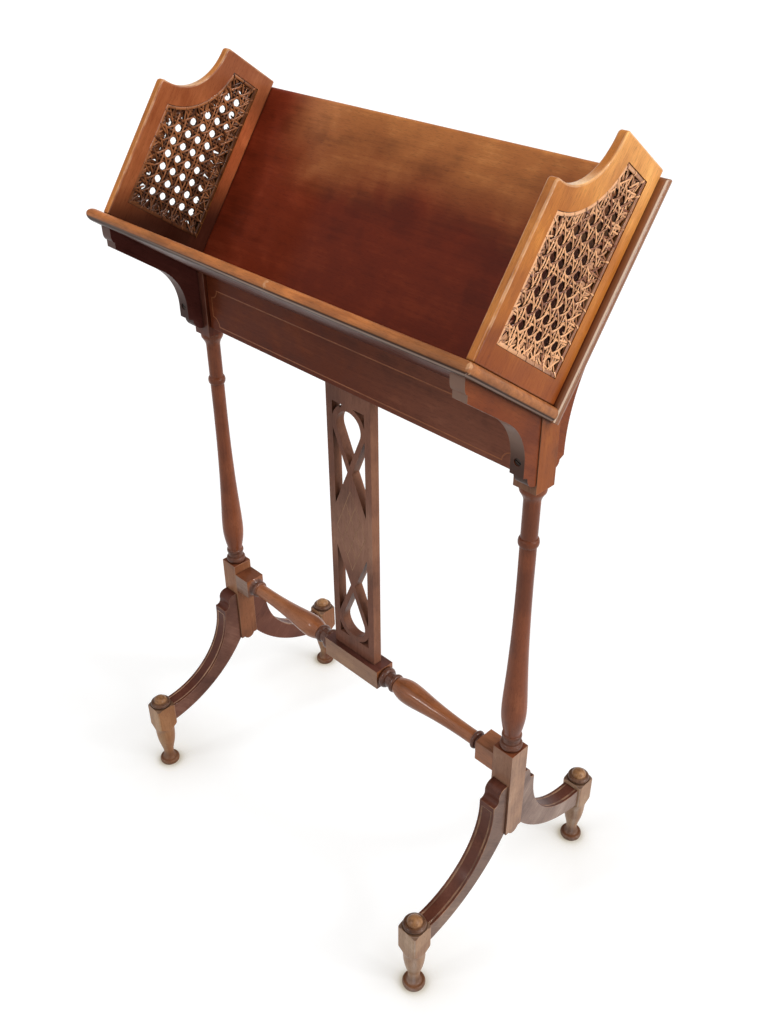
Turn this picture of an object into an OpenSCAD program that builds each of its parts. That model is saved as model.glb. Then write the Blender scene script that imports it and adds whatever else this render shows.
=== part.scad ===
// Book trough on a stand. A V-shaped trough with caned ends is carried by two turned posts on
// splayed legs. An apron, a turned stretcher and a fretted splat tie the two posts together.
// Millimetres. X runs along the trough, -Y is the front and +Z is up.
// The origin is on the floor, midway between the four feet.

/* [Trough] */
// Rise of the shelf towards the front and lean of the back board, in degrees
trough_tilt = 35.75; // [33:0.25:39]
// Height of the lowest edge of the trough above the floor
trough_z = 648; // [630:1:670]
// Length of the shelf and of the back board
board_len = 503; // [498:1:520]
// Thickness of the shelf
shelf_t = 12; // [11:0.5:14]
// Depth of the shelf from the back board to its front edge
shelf_depth = 139; // [136:1:150]
// Thickness of the back board
back_t = 10.5; // [10:0.5:13]
// Height of the back board above the shelf
back_h = 199; // [192:1:212]
// Thickness of the tongue along the back edge of the shelf
tongue_t = 4; // [3:0.5:5]
// Depth of that tongue
tongue_depth = 5; // [3:0.5:6]
// Distance from an end of the shelf to the end of its tongue
tongue_inset = 24; // [18:1:40]

/* [End panels] */
// Thickness of an end panel
panel_t = 9; // [8:0.5:12]
// Distance from the end of the boards to the outer face of an end panel
panel_inset = 7.2; // [6:0.2:10]
// Depth of an end panel along the shelf
panel_depth = 126.5; // [120:0.5:130]
// Height of an end panel at its front edge
panel_front_h = 141.5; // [134:0.5:148]
// Height of an end panel at the back board
panel_back_h = 203.5; // [199:0.5:215]
// Length of the flat on top of the front edge
panel_front_flat = 5; // [4.5:0.5:8]
// Length of the flat on top, from the back board to the peak
panel_peak_flat = 70; // [66:0.5:76]
// Rounding of the two upper corners
panel_corner_r = 4; // [2:0.5:4.5]
// Width of the frame in front of the cane and behind it
panel_rail = 18.4; // [16:0.2:20]
// Width of the frame below the cane
panel_low_rail = 22; // [18:0.5:24]
// Width of the frame above the cane, along the flat
panel_top_rail = 19.6; // [17:0.2:23]
// Width of the frame under the scooped edge
panel_scoop_rail = 21.6; // [19:0.2:24]
// Length of each stub tenon on a panel
panel_tenon_len = 26; // [20:1:32]
// Thickness of each stub tenon on a panel
panel_tenon_t = 5; // [4:0.5:6]
// Depth of each stub tenon on a panel
panel_tenon_depth = 6; // [4:0.5:7]

/* [Cane] */
// Thickness of the woven cane
cane_t = 2.4; // [1.6:0.2:3.2]
// Spacing of the open holes in the weave, both ways
cane_pitch = 13.5; // [12:0.5:16]
// Width of an open hole across its flats
cane_hole = 7; // [5:0.5:8]
// Distance from the back board to the first column of holes
cane_first_column = 31.7; // [28:0.1:36]
// Distance from the shelf to the first row of holes
cane_first_row = 28; // [26:0.5:36]
// Least width of weave between a hole and the frame
cane_margin = 1; // [0.5:0.5:3]
// Thickness of the binding strip round the cane
binding_t = 1; // [0.6:0.1:1.6]
// Width of the binding strip's seat in the frame
binding_lap = 2.4; // [1.6:0.2:3.2]
// Distance from the face of the frame down to the binding strip
binding_sink = 0.4; // [0.2:0.1:0.8]
// Reach of the binding strip over the cane
binding_lip = 1; // [0.4:0.2:2]

/* [Posts] */
// Distance between the centres of the two posts
post_span = 460; // [456:1:470]
// Side of the square stock of the posts and the stretcher
stock = 25.4; // [24:0.2:27]
// Height of the lower end of the posts above the floor
post_base_z = 143; // [135:1:150]
// Drop of the round tongue below the lower end of a post
post_tongue_drop = 5; // [3:0.5:7]
// Radius of the round tongue under a post
post_tongue_r = 8; // [7.5:0.5:10]
// Height of the lower square block of a post
low_block_h = 120; // [114:1:126]
// Height of the underside of the upper square block above the floor
high_block_z = 582; // [572:1:586]
// Radius of the torus on top of the lower block
post_torus_r = 12; // [11:0.2:12.6]
// Height of that torus
post_torus_h = 8; // [5:0.5:9]
// Radius of the hollow above that torus
post_hollow_r = 9.3; // [8.5:0.1:10]
// Height of the hollow above that torus
post_hollow_h = 5.5; // [4:0.5:7]
// Radius of the bead above the hollow
post_bead_r = 10.6; // [10.2:0.2:12]
// Height of the bead above the hollow
post_bead_h = 6; // [4:0.5:7]
// Radius of the baluster at its belly
belly_r = 13; // [12:0.2:14]
// Height of the belly above the lower block
belly_rise = 52; // [46:1:60]
// Radius of the baluster at its waist
waist_r = 8; // [7:0.2:9]
// Distance from the upper block down to the waist
waist_drop = 92; // [84:1:100]
// Radius of the ring on the shaft
ring_r = 10; // [9.4:0.2:11.5]
// Height of the ring on the shaft
ring_h = 9; // [6:0.5:11]
// Distance from the upper block down to the middle of the ring
ring_drop = 59.5; // [52:0.5:66]
// Radius of the collar under the upper block
collar_r = 12.6; // [11.4:0.2:13.2]
// Height of the collar under the upper block
collar_h = 6; // [4:0.5:8]
// Height of the flare under the collar
flare_h = 10; // [8:0.5:14]

/* [Apron] */
// Thickness of the apron
apron_t = 18; // [16:0.5:20]
// Height of the lower edge of the apron above the floor
apron_z = 592.8; // [590:0.2:598]
// Thickness of the tenons on the apron and the legs
tenon_t = 8; // [6:0.5:9]
// Depth of the tenons on the apron and the legs
tenon_depth = 9; // [7:0.5:10]
// Shoulder left above and below the tenons of the apron
apron_shoulder = 8; // [6:0.5:12]
// Width of the stringing line on the apron
string_w = 1.2; // [0.8:0.1:2]
// Depth of all stringing lines
string_depth = 1; // [0.6:0.1:1.6]
// Distance from the lower edge of the apron to the stringing line
string_low_margin = 5.2; // [4:0.2:8]
// Distance from the upper front edge of the apron to the stringing line
string_high_margin = 13.5; // [11:0.5:16]
// Distance from the posts to the stringing line
string_end_margin = 6.3; // [4:0.2:10]
// Radius of the hollow corners of the stringing line
string_corner_r = 10; // [6:0.5:13]

/* [Stretcher] */
// Height of the axis of the stretcher above the floor
stretcher_z = 238.3; // [234:0.2:244]
// Length of the square block in the middle of the stretcher
centre_block_l = 88; // [80:1:96]
// Length of the square block at each end of the stretcher
end_block_l = 24; // [20:0.5:30]
// Radius of the round tenon at each end of the stretcher
round_tenon_r = 7; // [6:0.5:8]
// Depth of the round tenon at each end of the stretcher
round_tenon_depth = 12; // [8:0.5:14]
// Radius of the torus beside the middle block
rail_torus_r = 12.5; // [11:0.2:12.6]
// Radius of the disc beside that torus
rail_disc_r = 11.2; // [10.4:0.2:12.4]
// Radius of the hollow between torus and disc
rail_hollow_r = 9; // [8:0.2:10]
// Radius of the rail at its belly
rail_belly_r = 13.7; // [13:0.1:15]
// Distance from the middle block to the belly of the rail
rail_belly_run = 40; // [34:1:48]
// Radius of the rail at its waist
rail_waist_r = 8.05; // [7.2:0.05:9]
// Distance from the end block to the waist of the rail
rail_waist_run = 16; // [14:1:24]
// Radius of the ring beside the end block
rail_ring_r = 10.7; // [10:0.1:12]

/* [Splat] */
// Width of the splat
splat_w = 65; // [60:1:72]
// Thickness of the splat
splat_t = 11; // [9:0.5:13]
// Width of its two stiles
stile_w = 9; // [8:0.5:11]
// Height of its plain top and bottom
splat_rail_h = 19.5; // [16:0.5:24]
// Width of the fret straps
strap_w = 6.5; // [5:0.25:8]
// Depth that a fret loop runs into the stiles
loop_lap = 1; // [0.5:0.25:2]
// Distance from the centre of a loop to its crossing
loop_len = 53.5; // [48:0.5:60]
// Height of the inlaid lozenge
lozenge_h = 103; // [90:1:110]
// Width of the inlaid lozenge
lozenge_w = 44; // [36:1:46]
// Width of the inlaid lines of the lozenge
lozenge_string_w = 1; // [0.6:0.1:1.6]
// Number of cells along a side of the lozenge
lozenge_cells = 3; // [2:1:5]
// Diameter of the small hole left in a corner of the splat
pilot_d = 3; // [2:0.25:4]
// Distance of that hole from the middle of the splat
pilot_x = 11.2; // [9:0.1:13]
// Distance of that hole below the top of the splat
pilot_drop = 22; // [20:0.5:24]
// Width of the tenons at the top and bottom of the splat
splat_tenon_w = 40; // [30:1:50]
// Thickness of those tenons
splat_tenon_t = 5; // [4:0.5:7]
// Depth of those tenons
splat_tenon_depth = 8; // [5:0.5:9]

/* [Legs] */
// Thickness of a leg
leg_t = 20; // [18:0.5:22]
// Distance from the axis of a post to the axis of a foot
foot_reach = 141.5; // [136:0.5:150]
// Depth of a leg in front of the post, above its curve
leg_neck = 20.8; // [19.5:0.1:23]
// Height of the underside of a leg where it meets the foot
leg_end_z = 73; // [70:0.5:76]
// Height of a leg where it meets the foot
leg_end_h = 24.4; // [21:0.2:26]
// Radius of the curve under a leg
leg_under_r = 168.5; // [150:0.5:190]
// Height of the straight rise above the curve of a leg
leg_step_h = 8; // [5:0.5:10]
// Flat at the foot of the hollow on top of a leg
leg_fillet = 2; // [1:0.5:3]
// Radius of the hollow on top of a leg
leg_cove_r = 5.5; // [4:0.5:6.5]
// Radius of the roll on top of a leg
leg_roll_r = 9; // [7:0.5:10]
// Height of the upright between hollow and roll
leg_quirk_h = 4; // [2:0.5:6]
// Height of the tenon that enters the post
leg_tenon_h = 40; // [30:1:46]
// Height of the tenon that enters the foot
toe_tenon_h = 14; // [10:0.5:17]
// Depth of the tenon that enters the foot
toe_tenon_depth = 7; // [5:0.5:7.5]
// Distance from a side of the leg to its stringing line
leg_string_margin = 3; // [2:0.25:5]
// Width of the stringing line on a leg
leg_string_w = 1; // [0.6:0.1:1.6]

/* [Feet] */
// Side of the square block of a foot
foot_block = 26; // [25.4:0.2:30]
// Height of the top of that block above the floor
foot_h = 103; // [101:0.5:108]
// Height of the turned shoulder on top of that block
foot_shoulder_h = 6; // [3:0.5:8]
// Radius of that shoulder at the top of the block
foot_shoulder_r = 14; // [13.6:0.2:17]
// Height of the underside of that block, where its corners start
foot_block_z = 72; // [69:0.5:74]
// Height at which the foot turns round below the block
foot_round_z = 58; // [54:0.5:62]
// Radius of the foot where it is fullest
foot_vase_r = 12.2; // [11:0.2:12.6]
// Radius of the lower end of that vase
foot_vase_low_r = 7.4; // [7.2:0.2:9.4]
// Height of the lower end of that vase
foot_vase_z = 24; // [21:0.5:30]
// Radius of the neck above the bun
foot_neck_r = 6.6; // [6:0.2:7]
// Height of the hollow between bun and neck
foot_flare_h = 8; // [6:0.5:10]
// Height of the flat bun
bun_h = 7.5; // [6:0.5:10]
// Radius of the bun
bun_r = 12.8; // [11.6:0.1:12.9]
// Radius of the flat underside of the bun
bun_base_r = 10.6; // [9:0.2:11.4]
// Radius of the ring on top of a foot
button_ring_r = 12.6; // [11:0.2:12.7]
// Height of the ring on top of a foot
button_ring_h = 6; // [3:0.5:8]
// Radius of the dome on top of a foot
button_dome_r = 8.5; // [7:0.25:10]
// Height of the dome on top of a foot
button_dome_h = 6.5; // [5:0.5:10]
// Radius of the peg under the dome
peg_r = 4; // [3:0.25:5]
// Length of the peg under the dome
peg_len = 10; // [7:0.5:12]

/* [Brackets] */
// Thickness of a bracket
bracket_t = 15; // [12:0.5:18]
// Distance from the middle of a post out to the middle of its brackets
bracket_shift = 4; // [0:0.25:5]
// Reach of a front bracket from the axis of the post
front_reach = 109.5; // [104:0.5:112]
// Depth of a front bracket below the shelf
front_depth = 16; // [14:0.5:18]
// Depth of the lower end of a front bracket, outward from the post
front_foot = 18; // [16:0.5:20]
// Radius of the curve under a front bracket
front_curve_r = 60; // [50:1:64]
// Reach of a rear bracket from the axis of the post
rear_reach = 67; // [62:0.5:72]
// Depth of a rear bracket below the back board
rear_depth = 13; // [11:0.5:15]
// Depth of the lower end of a rear bracket, outward from the post
rear_foot = 12; // [10:0.5:14]
// Radius of the curve under a rear bracket
rear_curve_r = 150; // [120:1:155]
// Height of the lower end of a bracket's straight edge above the floor
bracket_heel_z = 606.5; // [602:0.5:610]
// Width of the step under that edge
bracket_step = 5.5; // [4:0.5:7]
// Height of the step under that edge
bracket_step_h = 2.5; // [1.5:0.25:4]
// Height of the roll on the nose of a bracket
nose_roll_h = 15; // [12:0.5:16]
// Distance that the roll stands out on the nose of a bracket
nose_set = 3.5; // [2:0.25:5]
// Distance of the screw above the lower end of a bracket's straight edge
screw_rise = 13; // [8:0.5:15]
// Radius of the head of a bracket screw
screw_head_r = 3.6; // [3:0.1:4.5]
// Radius of the shank of a bracket screw
screw_r = 2; // [1.5:0.1:2.5]
// Length of a bracket screw
screw_len = 28; // [24:0.5:30]
// Depth of the counterbore over the head of a bracket screw
screw_sink = 1; // [0.5:0.25:2]

/* [Fits] */
// Clearance round tenons, pegs and inlaid lines
fit_gap = 0.1; // [0.05:0.05:0.2]

/* [Hidden] */
$fn = 64;
curve_steps = 20;
bead_steps = 10;
corner_steps = 6;
fret_steps = 28;
cut = 1;
mahogany = "#7a3f22";
dark_mahogany = "#55291b";
worn_mahogany = "#8d5c36";
boxwood = "#c08a52";
cane_brown = "#8a5a33";
screw_steel = "#2f2c2b";

post_x = post_span / 2;
half_stock = stock / 2;
low_block_z = post_base_z + low_block_h;
corner_y = shelf_t * sin(trough_tilt) - back_t * cos(trough_tilt);
corner_z = trough_z + back_t * sin(trough_tilt) + shelf_t * cos(trough_tilt);
panel_x = board_len / 2 - panel_inset - panel_t / 2;
scoop_s = panel_depth - panel_front_flat;
scoop_z = panel_back_h - panel_corner_r;
scoop_a = scoop_s - panel_peak_flat;
scoop_b = scoop_z - panel_front_h;
apron_len = post_span - stock;
apron_front_z = trough_z + apron_t / 2 * tan(trough_tilt);
apron_rear_z = trough_z + apron_t / 2 / tan(trough_tilt);
splat_low_z = stretcher_z + half_stock;
splat_h = apron_z - splat_low_z;
fret_w = splat_w / 2 - stile_w;
fret_h = splat_h / 2 - splat_rail_h;
loop_r = fret_w + loop_lap;
loop_z = fret_h - fret_w;
strap_angle = asin((loop_r - strap_w / 2) / loop_len);
foot_y = foot_reach - foot_block / 2;
neck_y = half_stock + leg_neck;
leg_r = foot_y - neck_y;
leg_curve_z = leg_end_z + leg_end_h + leg_r;
leg_top_z = leg_curve_z + leg_step_h + leg_cove_r + leg_quirk_h + leg_roll_r;
leg_tenon_z = post_base_z + (leg_curve_z + leg_step_h - post_base_z) / 2;
toe_tenon_z = leg_end_z + leg_end_h / 2;
front_y = half_stock + front_foot;
screw_z = bracket_heel_z + screw_rise;

// Curves that the outlines are made of. Turned profiles are lists of [along, radius].
function arc_points(centre, r, from, to, steps) =
    [for (i = [0 : steps]) let (a = from + (to - from) * i / steps) centre + r * [cos(a), sin(a)]];

function bezier(a, b, c, d, u) =
    pow(1 - u, 3) * a + 3 * u * pow(1 - u, 2) * b + 3 * u * u * (1 - u) * c + pow(u, 3) * d;

// A curve between two places on a turning that is level at both ends.
// The two leads say how long it stays close to each end, as shares of the run.
function swell(from, to, lead_from, lead_to) =
    let (run = to[0] - from[0])
    [for (i = [0 : curve_steps])
        bezier(from, from + [lead_from * run, 0], to - [lead_to * run, 0], to, i / curve_steps)];

function bead(from, to, base_r, top_r) =
    [for (i = [0 : bead_steps])
        let (u = i / bead_steps)
        [from + (to - from) * (1 - cos(180 * u)) / 2, base_r + (top_r - base_r) * sin(180 * u)]];

module lathe(profile) {
    last = len(profile) - 1;
    outline = [for (p = profile) [p[1], p[0]]];
    rotate_extrude() polygon(concat([[0, profile[0][0]]], outline, [[0, profile[last][0]]]));
}

// Stands a drawing of [y, z] points up across the trough, centred on X.
module side_plate(thickness) {
    rotate([90, 0, 90]) linear_extrude(height = thickness, center = true) children();
}

// Stands a drawing of [x, z] points up along the trough, centred on Y.
module face_plate(thickness) {
    rotate([90, 0, 0]) linear_extrude(height = thickness, center = true) children();
}

module block(size, centre) {
    translate(centre) cube(size, center = true);
}

// Frame of the trough: its origin is the inner corner, -Y runs up the shelf, +Z up the back board.
module in_trough() {
    translate([0, corner_y, corner_z]) rotate([-trough_tilt, 0, 0]) children();
}

module at_post(side) {
    translate([side * post_x, 0, 0]) children();
}

// Turns what is drawn at the front of a post round to the rear where face is 1.
module at_face(side, face) {
    at_post(side) rotate([0, 0, face > 0 ? 180 : 0]) children();
}

module round_ended(length, width) {
    square([length - width, width], center = true);
    for (end = [-1, 1]) translate([end * (length - width) / 2, 0]) circle(d = width);
}

// Stub tenons of both end panels, in the frame of the trough. Grown a little, they cut the mortises.
module panel_tenons(side, grow) {
    reach = panel_tenon_depth + grow;
    across = panel_tenon_t + 2 * grow;
    along = panel_tenon_len + 2 * grow;
    for (share = [0.25, 0.75]) {
        block([across, along, 2 * reach], [side * panel_x, -share * panel_depth, 0]);
        block([across, 2 * reach, along], [side * panel_x, 0, share * panel_back_h]);
    }
}

module shelf_tongue(grow) {
    length = board_len - 2 * tongue_inset + 2 * grow;
    block([length, 2 * (tongue_depth + grow), tongue_t + 2 * grow], [0, 0, -shelf_t / 2]);
}

module shelf_board() {
    color(mahogany) in_trough() difference() {
        union() {
            intersection() {
                side_plate(board_len) translate([-shelf_depth / 2, -shelf_t / 2]) {
                    translate([shelf_t / 4, 0]) square([shelf_depth - shelf_t / 2, shelf_t], center = true);
                    translate([(shelf_t - shelf_depth) / 2, 0]) circle(d = shelf_t);
                }
                translate([0, -shelf_depth / 2, -shelf_t / 2])
                    face_plate(shelf_depth + 2 * cut) round_ended(board_len, shelf_t);
            }
            shelf_tongue(0);
        }
        for (side = [-1, 1]) panel_tenons(side, fit_gap);
    }
}

module back_board() {
    color(mahogany) in_trough() difference() {
        intersection() {
            side_plate(board_len) {
                translate([0, -shelf_t]) square([back_t, back_h + shelf_t - back_t / 2]);
                translate([back_t / 2, back_h - back_t / 2]) circle(d = back_t);
            }
            translate([0, back_t / 2, -shelf_t - cut])
                linear_extrude(height = back_h + shelf_t + 2 * cut) round_ended(board_len, back_t);
        }
        shelf_tongue(fit_gap);
        for (side = [-1, 1]) panel_tenons(side, fit_gap);
    }
}

// Outline of an end panel as [-depth, height], with a quarter ellipse scooped out of its top.
function panel_outline() = concat(
    [[0, 0], [-panel_depth, 0]],
    arc_points([panel_corner_r - panel_depth, panel_front_h - panel_corner_r], panel_corner_r,
        180, 90, corner_steps),
    [for (i = [0 : curve_steps]) let (a = 90 * i / curve_steps)
        [scoop_a * sin(a) - scoop_s, scoop_z - scoop_b * cos(a)]],
    arc_points([panel_corner_r - panel_peak_flat, scoop_z], panel_corner_r, 180, 90, corner_steps),
    [[0, panel_back_h]]
);

// Outline of the opening for the cane. It keeps even with the outer edge, and grows by grow.
function opening_outline(grow) =
    let (
        rail = panel_rail - grow,
        low = panel_low_rail - grow,
        top = panel_back_h - panel_top_rail + grow,
        a = scoop_a + panel_scoop_rail - grow,
        b = scoop_b + panel_scoop_rail - grow,
        from = asin((scoop_s - panel_depth + rail) / a),
        to = acos((scoop_z - top) / b)
    )
    concat(
        [[-rail, low], [rail - panel_depth, low]],
        [for (i = [0 : curve_steps]) let (t = from + (to - from) * i / curve_steps)
            [a * sin(t) - scoop_s, scoop_z - b * cos(t)]],
        [[-rail, top]]
    );

module end_panel(side) {
    core_t = panel_t - 2 * (binding_t + binding_sink);
    color(mahogany) in_trough() {
        translate([side * panel_x, 0, 0]) difference() {
            side_plate(panel_t) polygon(panel_outline());
            side_plate(panel_t + cut) polygon(opening_outline(0));
            difference() {
                side_plate(panel_t + cut) polygon(opening_outline(binding_lap + fit_gap));
                side_plate(core_t) polygon(panel_outline());
            }
        }
        intersection() {
            panel_tenons(side, 0);
            union() {
                block([board_len, 2 * panel_depth, 2 * panel_tenon_depth], [0, 0, -panel_tenon_depth]);
                block([board_len, 2 * panel_tenon_depth, 2 * panel_back_h], [0, panel_tenon_depth, 0]);
            }
        }
    }
}

// True where a hole of the weave lies clear of the frame.
function hole_is_clear(s, t) =
    let (
        edge = cane_hole / 2 + cane_margin,
        a = scoop_a + panel_scoop_rail + edge,
        b = scoop_b + panel_scoop_rail + edge,
        rail = panel_rail + edge
    )
    s >= rail && s <= panel_depth - rail
        && t >= panel_low_rail + edge && t <= panel_back_h - panel_top_rail - edge
        && pow((scoop_s - s) / a, 2) + pow((scoop_z - t) / b, 2) >= 1;

module cane(side) {
    columns = floor(panel_depth / cane_pitch);
    rows = floor(panel_back_h / cane_pitch);
    color(cane_brown) in_trough() translate([side * panel_x, 0, 0]) side_plate(cane_t) difference() {
        polygon(opening_outline(-fit_gap));
        for (i = [0 : columns], j = [0 : rows]) {
            s = cane_first_column + i * cane_pitch;
            t = cane_first_row + j * cane_pitch;
            if (hole_is_clear(s, t))
                translate([-s, t]) rotate(22.5) circle(d = cane_hole / cos(22.5), $fn = 8);
        }
    }
}

// Strip that covers the edge of the cane, on the outer face of a panel or on its inner face.
module binding(side, outward) {
    x = side * (panel_x + outward * ((panel_t - binding_t) / 2 - binding_sink));
    color(cane_brown) in_trough() translate([x, 0, 0]) side_plate(binding_t) difference() {
        polygon(opening_outline(binding_lap));
        polygon(opening_outline(-binding_lip));
    }
}

function post_profile() = concat(
    [[low_block_z - cut, post_hollow_r]],
    bead(low_block_z, low_block_z + post_torus_h, post_hollow_r, post_torus_r),
    bead(low_block_z + post_torus_h + post_hollow_h,
        low_block_z + post_torus_h + post_hollow_h + post_bead_h, post_hollow_r, post_bead_r),
    swell([low_block_z + post_torus_h + post_hollow_h + post_bead_h + cut, post_hollow_r],
        [low_block_z + belly_rise, belly_r], 0.1, 0.55),
    swell([low_block_z + belly_rise, belly_r], [high_block_z - waist_drop, waist_r], 0.14, 0.63),
    bead(high_block_z - ring_drop - ring_h / 2, high_block_z - ring_drop + ring_h / 2, waist_r, ring_r),
    swell([high_block_z - collar_h - flare_h, waist_r], [high_block_z - collar_h, collar_r - cut], 0.5, 0.1),
    bead(high_block_z - collar_h, high_block_z, collar_r - cut, collar_r),
    [[high_block_z + cut, collar_r - cut]]
);

// Leg tenons, drawn at the front of a post. Grown a little, they cut the mortises.
module leg_tenon(grow) {
    depth = tenon_depth + grow;
    block([tenon_t + 2 * grow, 2 * depth, leg_tenon_h + 2 * grow], [0, -half_stock, leg_tenon_z]);
}

module toe_tenon(grow) {
    depth = toe_tenon_depth + grow;
    block([tenon_t + 2 * grow, 2 * depth, toe_tenon_h + 2 * grow], [0, -foot_y, toe_tenon_z]);
}

module apron_tenons(grow) {
    low = apron_z + apron_shoulder - grow;
    high = trough_z - apron_shoulder + grow;
    length = apron_len + 2 * (tenon_depth + grow);
    block([length, tenon_t + 2 * grow, high - low], [0, 0, (low + high) / 2]);
}

module round_tenons(grow) {
    length = apron_len + 2 * (round_tenon_depth + grow);
    translate([0, 0, stretcher_z]) rotate([0, 90, 0])
        cylinder(r = round_tenon_r + grow, h = length, center = true);
}

module screw_hole(grow) {
    head = screw_head_r + grow;
    translate([0, -front_y, screw_z]) rotate([-90, 0, 0]) {
        translate([0, 0, -cut]) cylinder(r = head, h = screw_sink + cut);
        translate([0, 0, screw_sink]) cylinder(r1 = head, r2 = screw_r + grow, h = screw_head_r - screw_r);
        cylinder(r = screw_r + grow, h = screw_sink + screw_len + grow);
    }
}

module post(side) {
    color(mahogany) difference() {
        at_post(side) {
            block([stock, stock, low_block_h], [0, 0, post_base_z + low_block_h / 2]);
            translate([0, 0, post_base_z + post_tongue_r - post_tongue_drop])
                rotate([0, 90, 0]) cylinder(r = post_tongue_r, h = stock, center = true);
            lathe(post_profile());
            side_plate(stock) polygon([
                [-half_stock, high_block_z],
                [half_stock, high_block_z],
                [half_stock, trough_z + half_stock / tan(trough_tilt)],
                [0, trough_z],
                [-half_stock, trough_z + half_stock * tan(trough_tilt)]
            ]);
        }
        for (face = [-1, 1]) at_face(side, face) leg_tenon(fit_gap);
        at_bracket(side, -1) screw_hole(fit_gap);
        apron_tenons(fit_gap);
        round_tenons(fit_gap);
    }
}

// Stringing frame of the apron: a rectangle with hollow corners, grown by grow on both sides.
module apron_string(grow) {
    low = apron_z + string_low_margin;
    high = apron_front_z - string_high_margin;
    half = apron_len / 2 - string_end_margin;
    difference() {
        string_panel(half, low, high, grow);
        string_panel(half, low, high, -string_w - grow);
    }
}

module string_panel(half, low, high, grow) {
    difference() {
        translate([0, (low + high) / 2]) square([2 * (half + grow), high - low + 2 * grow], center = true);
        for (x = [-half, half], z = [low, high]) translate([x, z]) circle(r = string_corner_r - grow);
    }
}

module apron_stringing() {
    color(boxwood) translate([0, (string_depth - apron_t) / 2, 0]) face_plate(string_depth) apron_string(0);
}

module splat_tenons(grow) {
    height = splat_h + 2 * (splat_tenon_depth + grow);
    block([splat_tenon_w + 2 * grow, splat_tenon_t + 2 * grow, height], [0, 0, splat_low_z + splat_h / 2]);
}

module apron() {
    color(dark_mahogany) difference() {
        union() {
            side_plate(apron_len) polygon([
                [-apron_t / 2, apron_z],
                [apron_t / 2, apron_z],
                [apron_t / 2, apron_rear_z],
                [0, trough_z],
                [-apron_t / 2, apron_front_z]
            ]);
            apron_tenons(0);
        }
        translate([0, -apron_t / 2, 0]) face_plate(2 * string_depth) apron_string(fit_gap);
        splat_tenons(fit_gap);
    }
}

// Half of the stretcher's turning, from the middle block out to an end block.
function rail_profile() =
    let (
        start = centre_block_l / 2,
        stop = apron_len / 2 - end_block_l,
        torus = 8,
        hollow = 7,
        disc = 6,
        ring = 5.5
    )
    concat(
        [[start - cut, rail_hollow_r]],
        bead(start, start + torus, rail_hollow_r, rail_torus_r),
        bead(start + torus + hollow, start + torus + hollow + disc, rail_hollow_r, rail_disc_r),
        swell([start + torus + hollow + disc + cut, rail_disc_r - cut],
            [start + rail_belly_run, rail_belly_r], 0.1, 0.55),
        swell([start + rail_belly_run, rail_belly_r], [stop - rail_waist_run, rail_waist_r], 0.2, 0.6),
        bead(stop - 2 * ring, stop - ring, rail_waist_r, rail_ring_r),
        swell([stop - ring + cut, rail_waist_r], [stop, half_stock], 0.2, 0.1),
        [[stop + cut, half_stock]]
    );

module stretcher() {
    end_x = (apron_len - end_block_l) / 2;
    color(worn_mahogany) difference() {
        union() {
            block([centre_block_l, stock, stock], [0, 0, stretcher_z]);
            for (side = [-1, 1]) {
                block([end_block_l, stock, stock], [side * end_x, 0, stretcher_z]);
                translate([0, 0, stretcher_z]) rotate([0, side * 90, 0]) lathe(rail_profile());
            }
            intersection() {
                round_tenons(0);
                difference() {
                    block([2 * post_span, stock, stock], [0, 0, stretcher_z]);
                    block([apron_len - 2 * cut, 2 * stock, 2 * stock], [0, 0, stretcher_z]);
                }
            }
        }
        splat_tenons(fit_gap);
    }
}

// A loop of the fret: a round that runs to a point, r is the radius of the round.
function teardrop(r) = concat(
    arc_points([0, loop_z], r, -strap_angle, 180 + strap_angle, fret_steps),
    [[0, loop_z - r / sin(strap_angle)]]
);

module fret_piercings() {
    inner_r = loop_r - strap_w;
    tip = loop_z - inner_r / sin(strap_angle) - cut;
    difference() {
        square([2 * fret_w, 2 * fret_h], center = true);
        for (end = [0, 1]) mirror([0, end]) difference() {
            polygon(teardrop(loop_r));
            polygon(teardrop(inner_r));
        }
        polygon([[0, tip], [tip * tan(strap_angle), 0], [0, -tip], [-tip * tan(strap_angle), 0]]);
    }
}

// A rhombus with the given half width and half height, its sides moved outward by grow.
module rhombus(w, h, grow) {
    lean = atan2(w, h);
    x = w + grow / cos(lean);
    z = h + grow / sin(lean);
    polygon([[x, 0], [0, z], [-x, 0], [0, -z]]);
}

// Inlaid lozenge: a net of lines that run along its sides and part it into cells.
module lozenge_lines(grow) {
    cell = [lozenge_w, lozenge_h] / 2 / lozenge_cells;
    half_line = lozenge_string_w / 2 + grow;
    last = lozenge_cells - 1;
    difference() {
        rhombus(lozenge_w / 2, lozenge_h / 2, half_line);
        for (i = [0 : last], j = [0 : last])
            translate([(i - j) * cell[0], (i + j - last) * cell[1]]) rhombus(cell[0], cell[1], -half_line);
    }
}

module splat() {
    centre = [0, 0, splat_low_z + splat_h / 2];
    color(dark_mahogany) {
        difference() {
            translate(centre) face_plate(splat_t) difference() {
                square([splat_w, splat_h], center = true);
                fret_piercings();
                translate([-pilot_x, splat_h / 2 - pilot_drop]) circle(d = pilot_d);
            }
            translate(centre - [0, splat_t / 2, 0]) face_plate(2 * string_depth) lozenge_lines(fit_gap);
        }
        difference() {
            splat_tenons(0);
            block([splat_w, stock, splat_h - 2 * cut], centre);
        }
    }
}

module splat_stringing() {
    centre = [0, (string_depth - splat_t) / 2, splat_low_z + splat_h / 2];
    color(boxwood) translate(centre) face_plate(string_depth) lozenge_lines(0);
}

// Centre of the curve under a leg, from the two ends of the curve and its radius.
function under_centre() =
    let (
        root = [-half_stock, post_base_z],
        toe = [-foot_y, leg_end_z],
        chord = toe - root,
        half = norm(chord) / 2,
        rise = sqrt(leg_under_r * leg_under_r - half * half)
    )
    (root + toe) / 2 + rise * [chord[1], -chord[0]] / norm(chord);

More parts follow.
